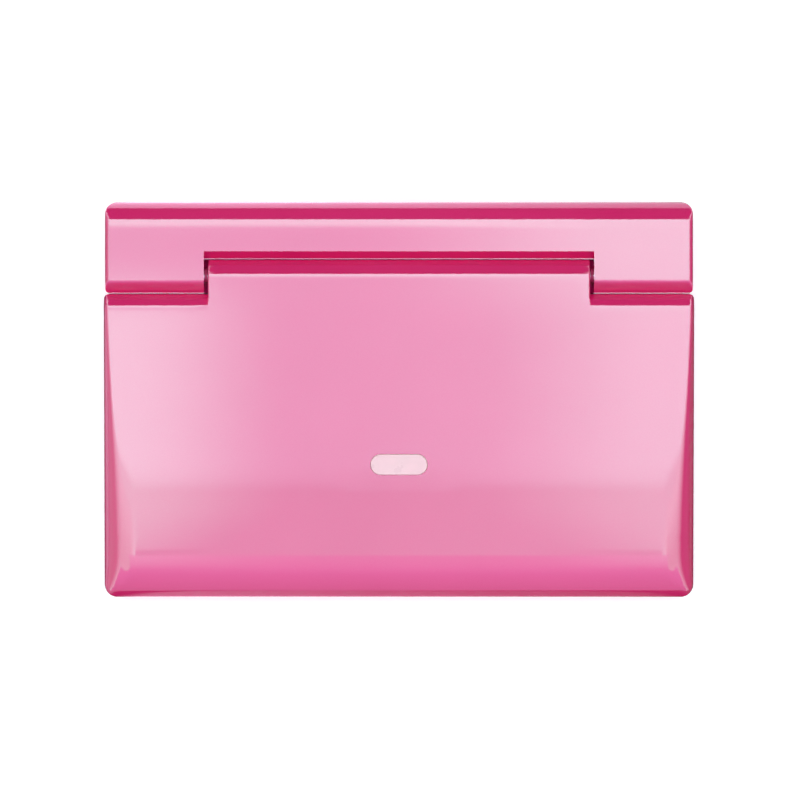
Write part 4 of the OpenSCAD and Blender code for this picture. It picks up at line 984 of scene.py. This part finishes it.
def softened(piece):
    # Rounds the outer edges, and keeps the flat faces evenly lit.
    piece.modifiers.new("weld", "WELD").merge_threshold = softEdges["weld"]
    soft = piece.modifiers.new("softEdges", "BEVEL")
    soft.width, soft.segments, soft.limit_method = softEdges["width"], softEdges["segments"], "ANGLE"
    soft.angle_limit = math.radians(softEdges["from"])
    piece.modifiers.new("evenShading", "WEIGHTED_NORMAL")
    piece.data.shade_smooth()
    piece.data.set_sharp_from_angle(angle=math.radians(softEdges["sharp"]))


for name in moulded:
    softened(nodes[name])
print("small pieces ready")


# The studio

studio = {"camera": (0.26 * mm, -0.13 * mm, 1.1965), "lens": 200, "sensor": 36, "clip": (0.05, 20),
          "floor": 3.0}


def staged(name, points, faces, surface, hidden=()):
    # A part of the studio; hidden lists the rays that pass through it.
    made = mesh(name, points, faces)
    made.materials.append(surface)
    piece = bpy.data.objects.new(name, made)
    bpy.context.scene.collection.objects.link(piece)
    for ray in hidden:
        setattr(piece, "visible_" + ray, False)


def square(half, z):
    # The corners of a level square.
    return [(-half, -half, z), (half, -half, z), (half, half, z), (-half, half, z)]


# Ranges below are from and to, in metres across the studio, and the levels there

# The mirrored tint, behind and left set the painted reflection glow that glossy faces see; dark and the
# band, close and under ranges set the painted shade beside the object
table = {
    "shades": ((0.93, 0.93, 0.93), (0.96, 0.96, 0.96)), "fibre": 3 * mm, "plain": 0.34, "far": (0.25, 1.0),
    "tint": (1.2, 0.85, 1.25), "behind": (0.04, 0.12, 0.0, 1.9), "left": (-0.05, 0.09, 0.9, -0.4),
    "dark": (0.03, 0.03, 0.03), "bandFront": (0.022, 0.03), "bandRear": (0.055, 0.065),
    "closeOuter": (0.09, 0.115), "closeRear": (0.048, 0.053), "under": (0.07, 0.078),
}


def paper(bench):
    # Plain white paper for the camera. For glossy faces it glows with a painted reflection that is brighter
    # behind and on the left and tinted pink, and it turns to a painted shade close beside the object.
    x, y = bench.axes()[:2]
    white = bench.blend(bench.noise(table["fibre"], detail=4.0, rough=0.6), *table["shades"])
    seen, mirrored, through = [bench.node("ShaderNodeLightPath", output="Is " + ray + " Ray")
                               for ray in ("Camera", "Glossy", "Transmission")]
    far = bench.span((x * x + y * y).maths("SQRT"), *table["far"])
    # Painted reflection: a glow that only glossy faces see, brighter behind and on the left
    around = bench.span(y, *table["behind"]) + bench.span(x, *table["left"])
    glow = (seen + through) * (far + table["plain"]) + mirrored * around
    # and a pink tint painted onto that reflected glow
    tint = bench.blend(mirrored, (1.0, 1.0, 1.0), table["tint"])
    light = bench.node("ShaderNodeEmission", {}, {"Color": tint, "Strength": glow})
    matt = bench.node("ShaderNodeBsdfDiffuse", {}, {"Color": white})
    lit = bench.node("ShaderNodeAddShader", {}, [matt, light])
    # Painted shade: glossy faces see the table dark close beside the object's left and right sides
    band = bench.span(y, *table["bandFront"]) * (1 - bench.span(y, *table["bandRear"]))
    close = (1 - bench.span(abs(x), *table["closeOuter"])) * (1 - bench.span(y, *table["closeRear"]))
    shade = close.maths("MAXIMUM", band) * bench.span(abs(x), *table["under"])
    dark = bench.node("ShaderNodeBsdfDiffuse", {}, {"Color": colour4(table["dark"])})
    return bench.node("ShaderNodeMixShader", {}, [mirrored * shade, lit, dark])


softbox = {
    "half": 0.5, "height": 2.4, "dim": (6.8, 7.0, 9.1), "bright": (9.1, 13.0, 13.9),
    "outward": (0.13, 0.45), "outwardBy": 0.13,             # the dim middle widens towards the front
    "left": (0.08, 0.225), "leftEnd": (0.06, 0.12), "leftLoss": 0.9,
    "right": (0.05, 0.21), "rightLevel": 0.70, "rise": (-0.03, 0.06), "riseLevel": 0.08,
    "rearRight": (-0.04, 0.20), "rearRightLevel": 0.95, "rearRightFrom": (0.05, 0.12),
    "behind": (0.13, 0.22), "behindLevel": 0.85, "fade": (-0.11, -0.05, 0.77, 1.0),
}


def boxGlow(bench):
    # Dim in the middle, brighter to the left, the right and the back, and fading forwards.
    x, y = bench.axes()[:2]
    out = bench.smooth(-y, *softbox["outward"]) * softbox["outwardBy"]
    left = bench.smooth(-x - out, *softbox["left"])
    left = left * (1 - bench.smooth(y, *softbox["leftEnd"]) * softbox["leftLoss"])
    right = bench.smooth(x - out, *softbox["right"]) * softbox["rightLevel"]
    right = right + bench.span(x, *softbox["rise"]) * softbox["riseLevel"]
    rearRight = bench.smooth(x, *softbox["rearRight"]) * softbox["rearRightLevel"]
    right = right + (rearRight - right) * bench.smooth(y, *softbox["rearRightFrom"])
    behind = bench.smooth(y, *softbox["behind"]) * softbox["behindLevel"]
    colour = bench.blend((left + right + behind).clamped(), softbox["dim"], softbox["bright"])
    fade = bench.span(y, *softbox["fade"])
    return bench.node("ShaderNodeEmission", {}, {"Color": colour, "Strength": fade})


sky = {
    "half": 0.9, "steps": 24, "top": (6.2, 4.4, 6.8), "middle": (5.1, 3.0, 5.5), "low": (2.9, 1.7, 2.9),
    "upper": (0.13, 0.51), "lower": (0.51, 1.0),            # shares of the turn from overhead to the table
    "side": (0.08, 0.25), "sideLevel": 0.25, "sideEnd": (0.14, 0.38),
}


def skyGlow(bench):
    # Fading from overhead down to the table in front.
    x, y, z = bench.axes()
    turn = (-y).maths("ARCTAN2", z) / (math.pi / 2)
    upper = bench.blend(bench.span(turn, *sky["upper"]), sky["top"], sky["middle"])
    sideways = bench.smooth(abs(x), *sky["side"]) * sky["sideLevel"]
    upper = bench.blend(sideways * (1 - bench.span(turn, *sky["sideEnd"])), upper, softbox["bright"])
    colour = bench.blend(bench.span(turn, *sky["lower"]), upper, sky["low"])
    return bench.node("ShaderNodeEmission", {}, {"Color": colour, "Strength": 1.0})


room = {
    "fill": (0.50, 0.50, 0.47), "mirrored": (0.25, 0.24, 0.25),          # for matt and for glossy faces
    "beside": (7.4, 9.4, 10.2), "besideFrom": (0.1, 0.2),
    "left": (2.6, 2.8, 3.1), "right": (1.3, 0.95, 1.3), "outerFrom": (0.2, 0.6),
}


def roomLight(bench):
    # Even for matt faces; for glossy ones a faint middle with a light strip on each side, then its own tone.
    east = bench.axes(bench.node("ShaderNodeTexCoord", output="Generated"))[0]
    sides = bench.blend(bench.smooth(abs(east), *room["besideFrom"]), room["mirrored"], room["beside"])
    sides = bench.blend(bench.span(-east, *room["outerFrom"]), sides, room["left"])
    sides = bench.blend(bench.span(east, *room["outerFrom"]), sides, room["right"])
    glossy = bench.node("ShaderNodeLightPath", output="Is Glossy Ray")
    return bench.node("ShaderNodeBackground", {}, {"Color": bench.blend(glossy, room["fill"], sides)})


face = [(0, 1, 2, 3)]
staged("studioFloor", square(studio["floor"], 0), face, material("studioPaper", paper))
staged("softbox", square(softbox["half"], softbox["height"])[::-1], face, material("softboxPanel", boxGlow),
       ["camera"])
turns = steps(math.atan2(softbox["half"], softbox["height"]), math.pi / 2, sky["steps"])
reach = math.hypot(softbox["half"], softbox["height"])
arch = [(side * sky["half"], -reach * math.sin(turn), reach * math.cos(turn)) for turn in turns
        for side in (-1, 1)]
staged("frontSky", arch, [(2 * i, 2 * i + 1, 2 * i + 3, 2 * i + 2) for i in range(sky["steps"])],
       material("frontSkyPanel", skyGlow), ["camera", "diffuse", "shadow", "transmission"])

world = bpy.data.worlds.new("studioWorld")
world.use_nodes = True
world.node_tree.nodes.clear()
air = Bench(world.node_tree)
air.node("ShaderNodeOutputWorld", {}, {"Surface": roomLight(air)})
bpy.context.scene.world = world

lens = bpy.data.cameras.new("studioCamera")
lens.lens, lens.sensor_width = studio["lens"], studio["sensor"]
lens.clip_start, lens.clip_end = studio["clip"]
camera = bpy.data.objects.new("studioCamera", lens)
camera.location = studio["camera"]
bpy.context.scene.collection.objects.link(camera)
bpy.context.scene.camera = camera
bpy.context.scene.view_settings.view_transform = "Standard"
print("studio ready")
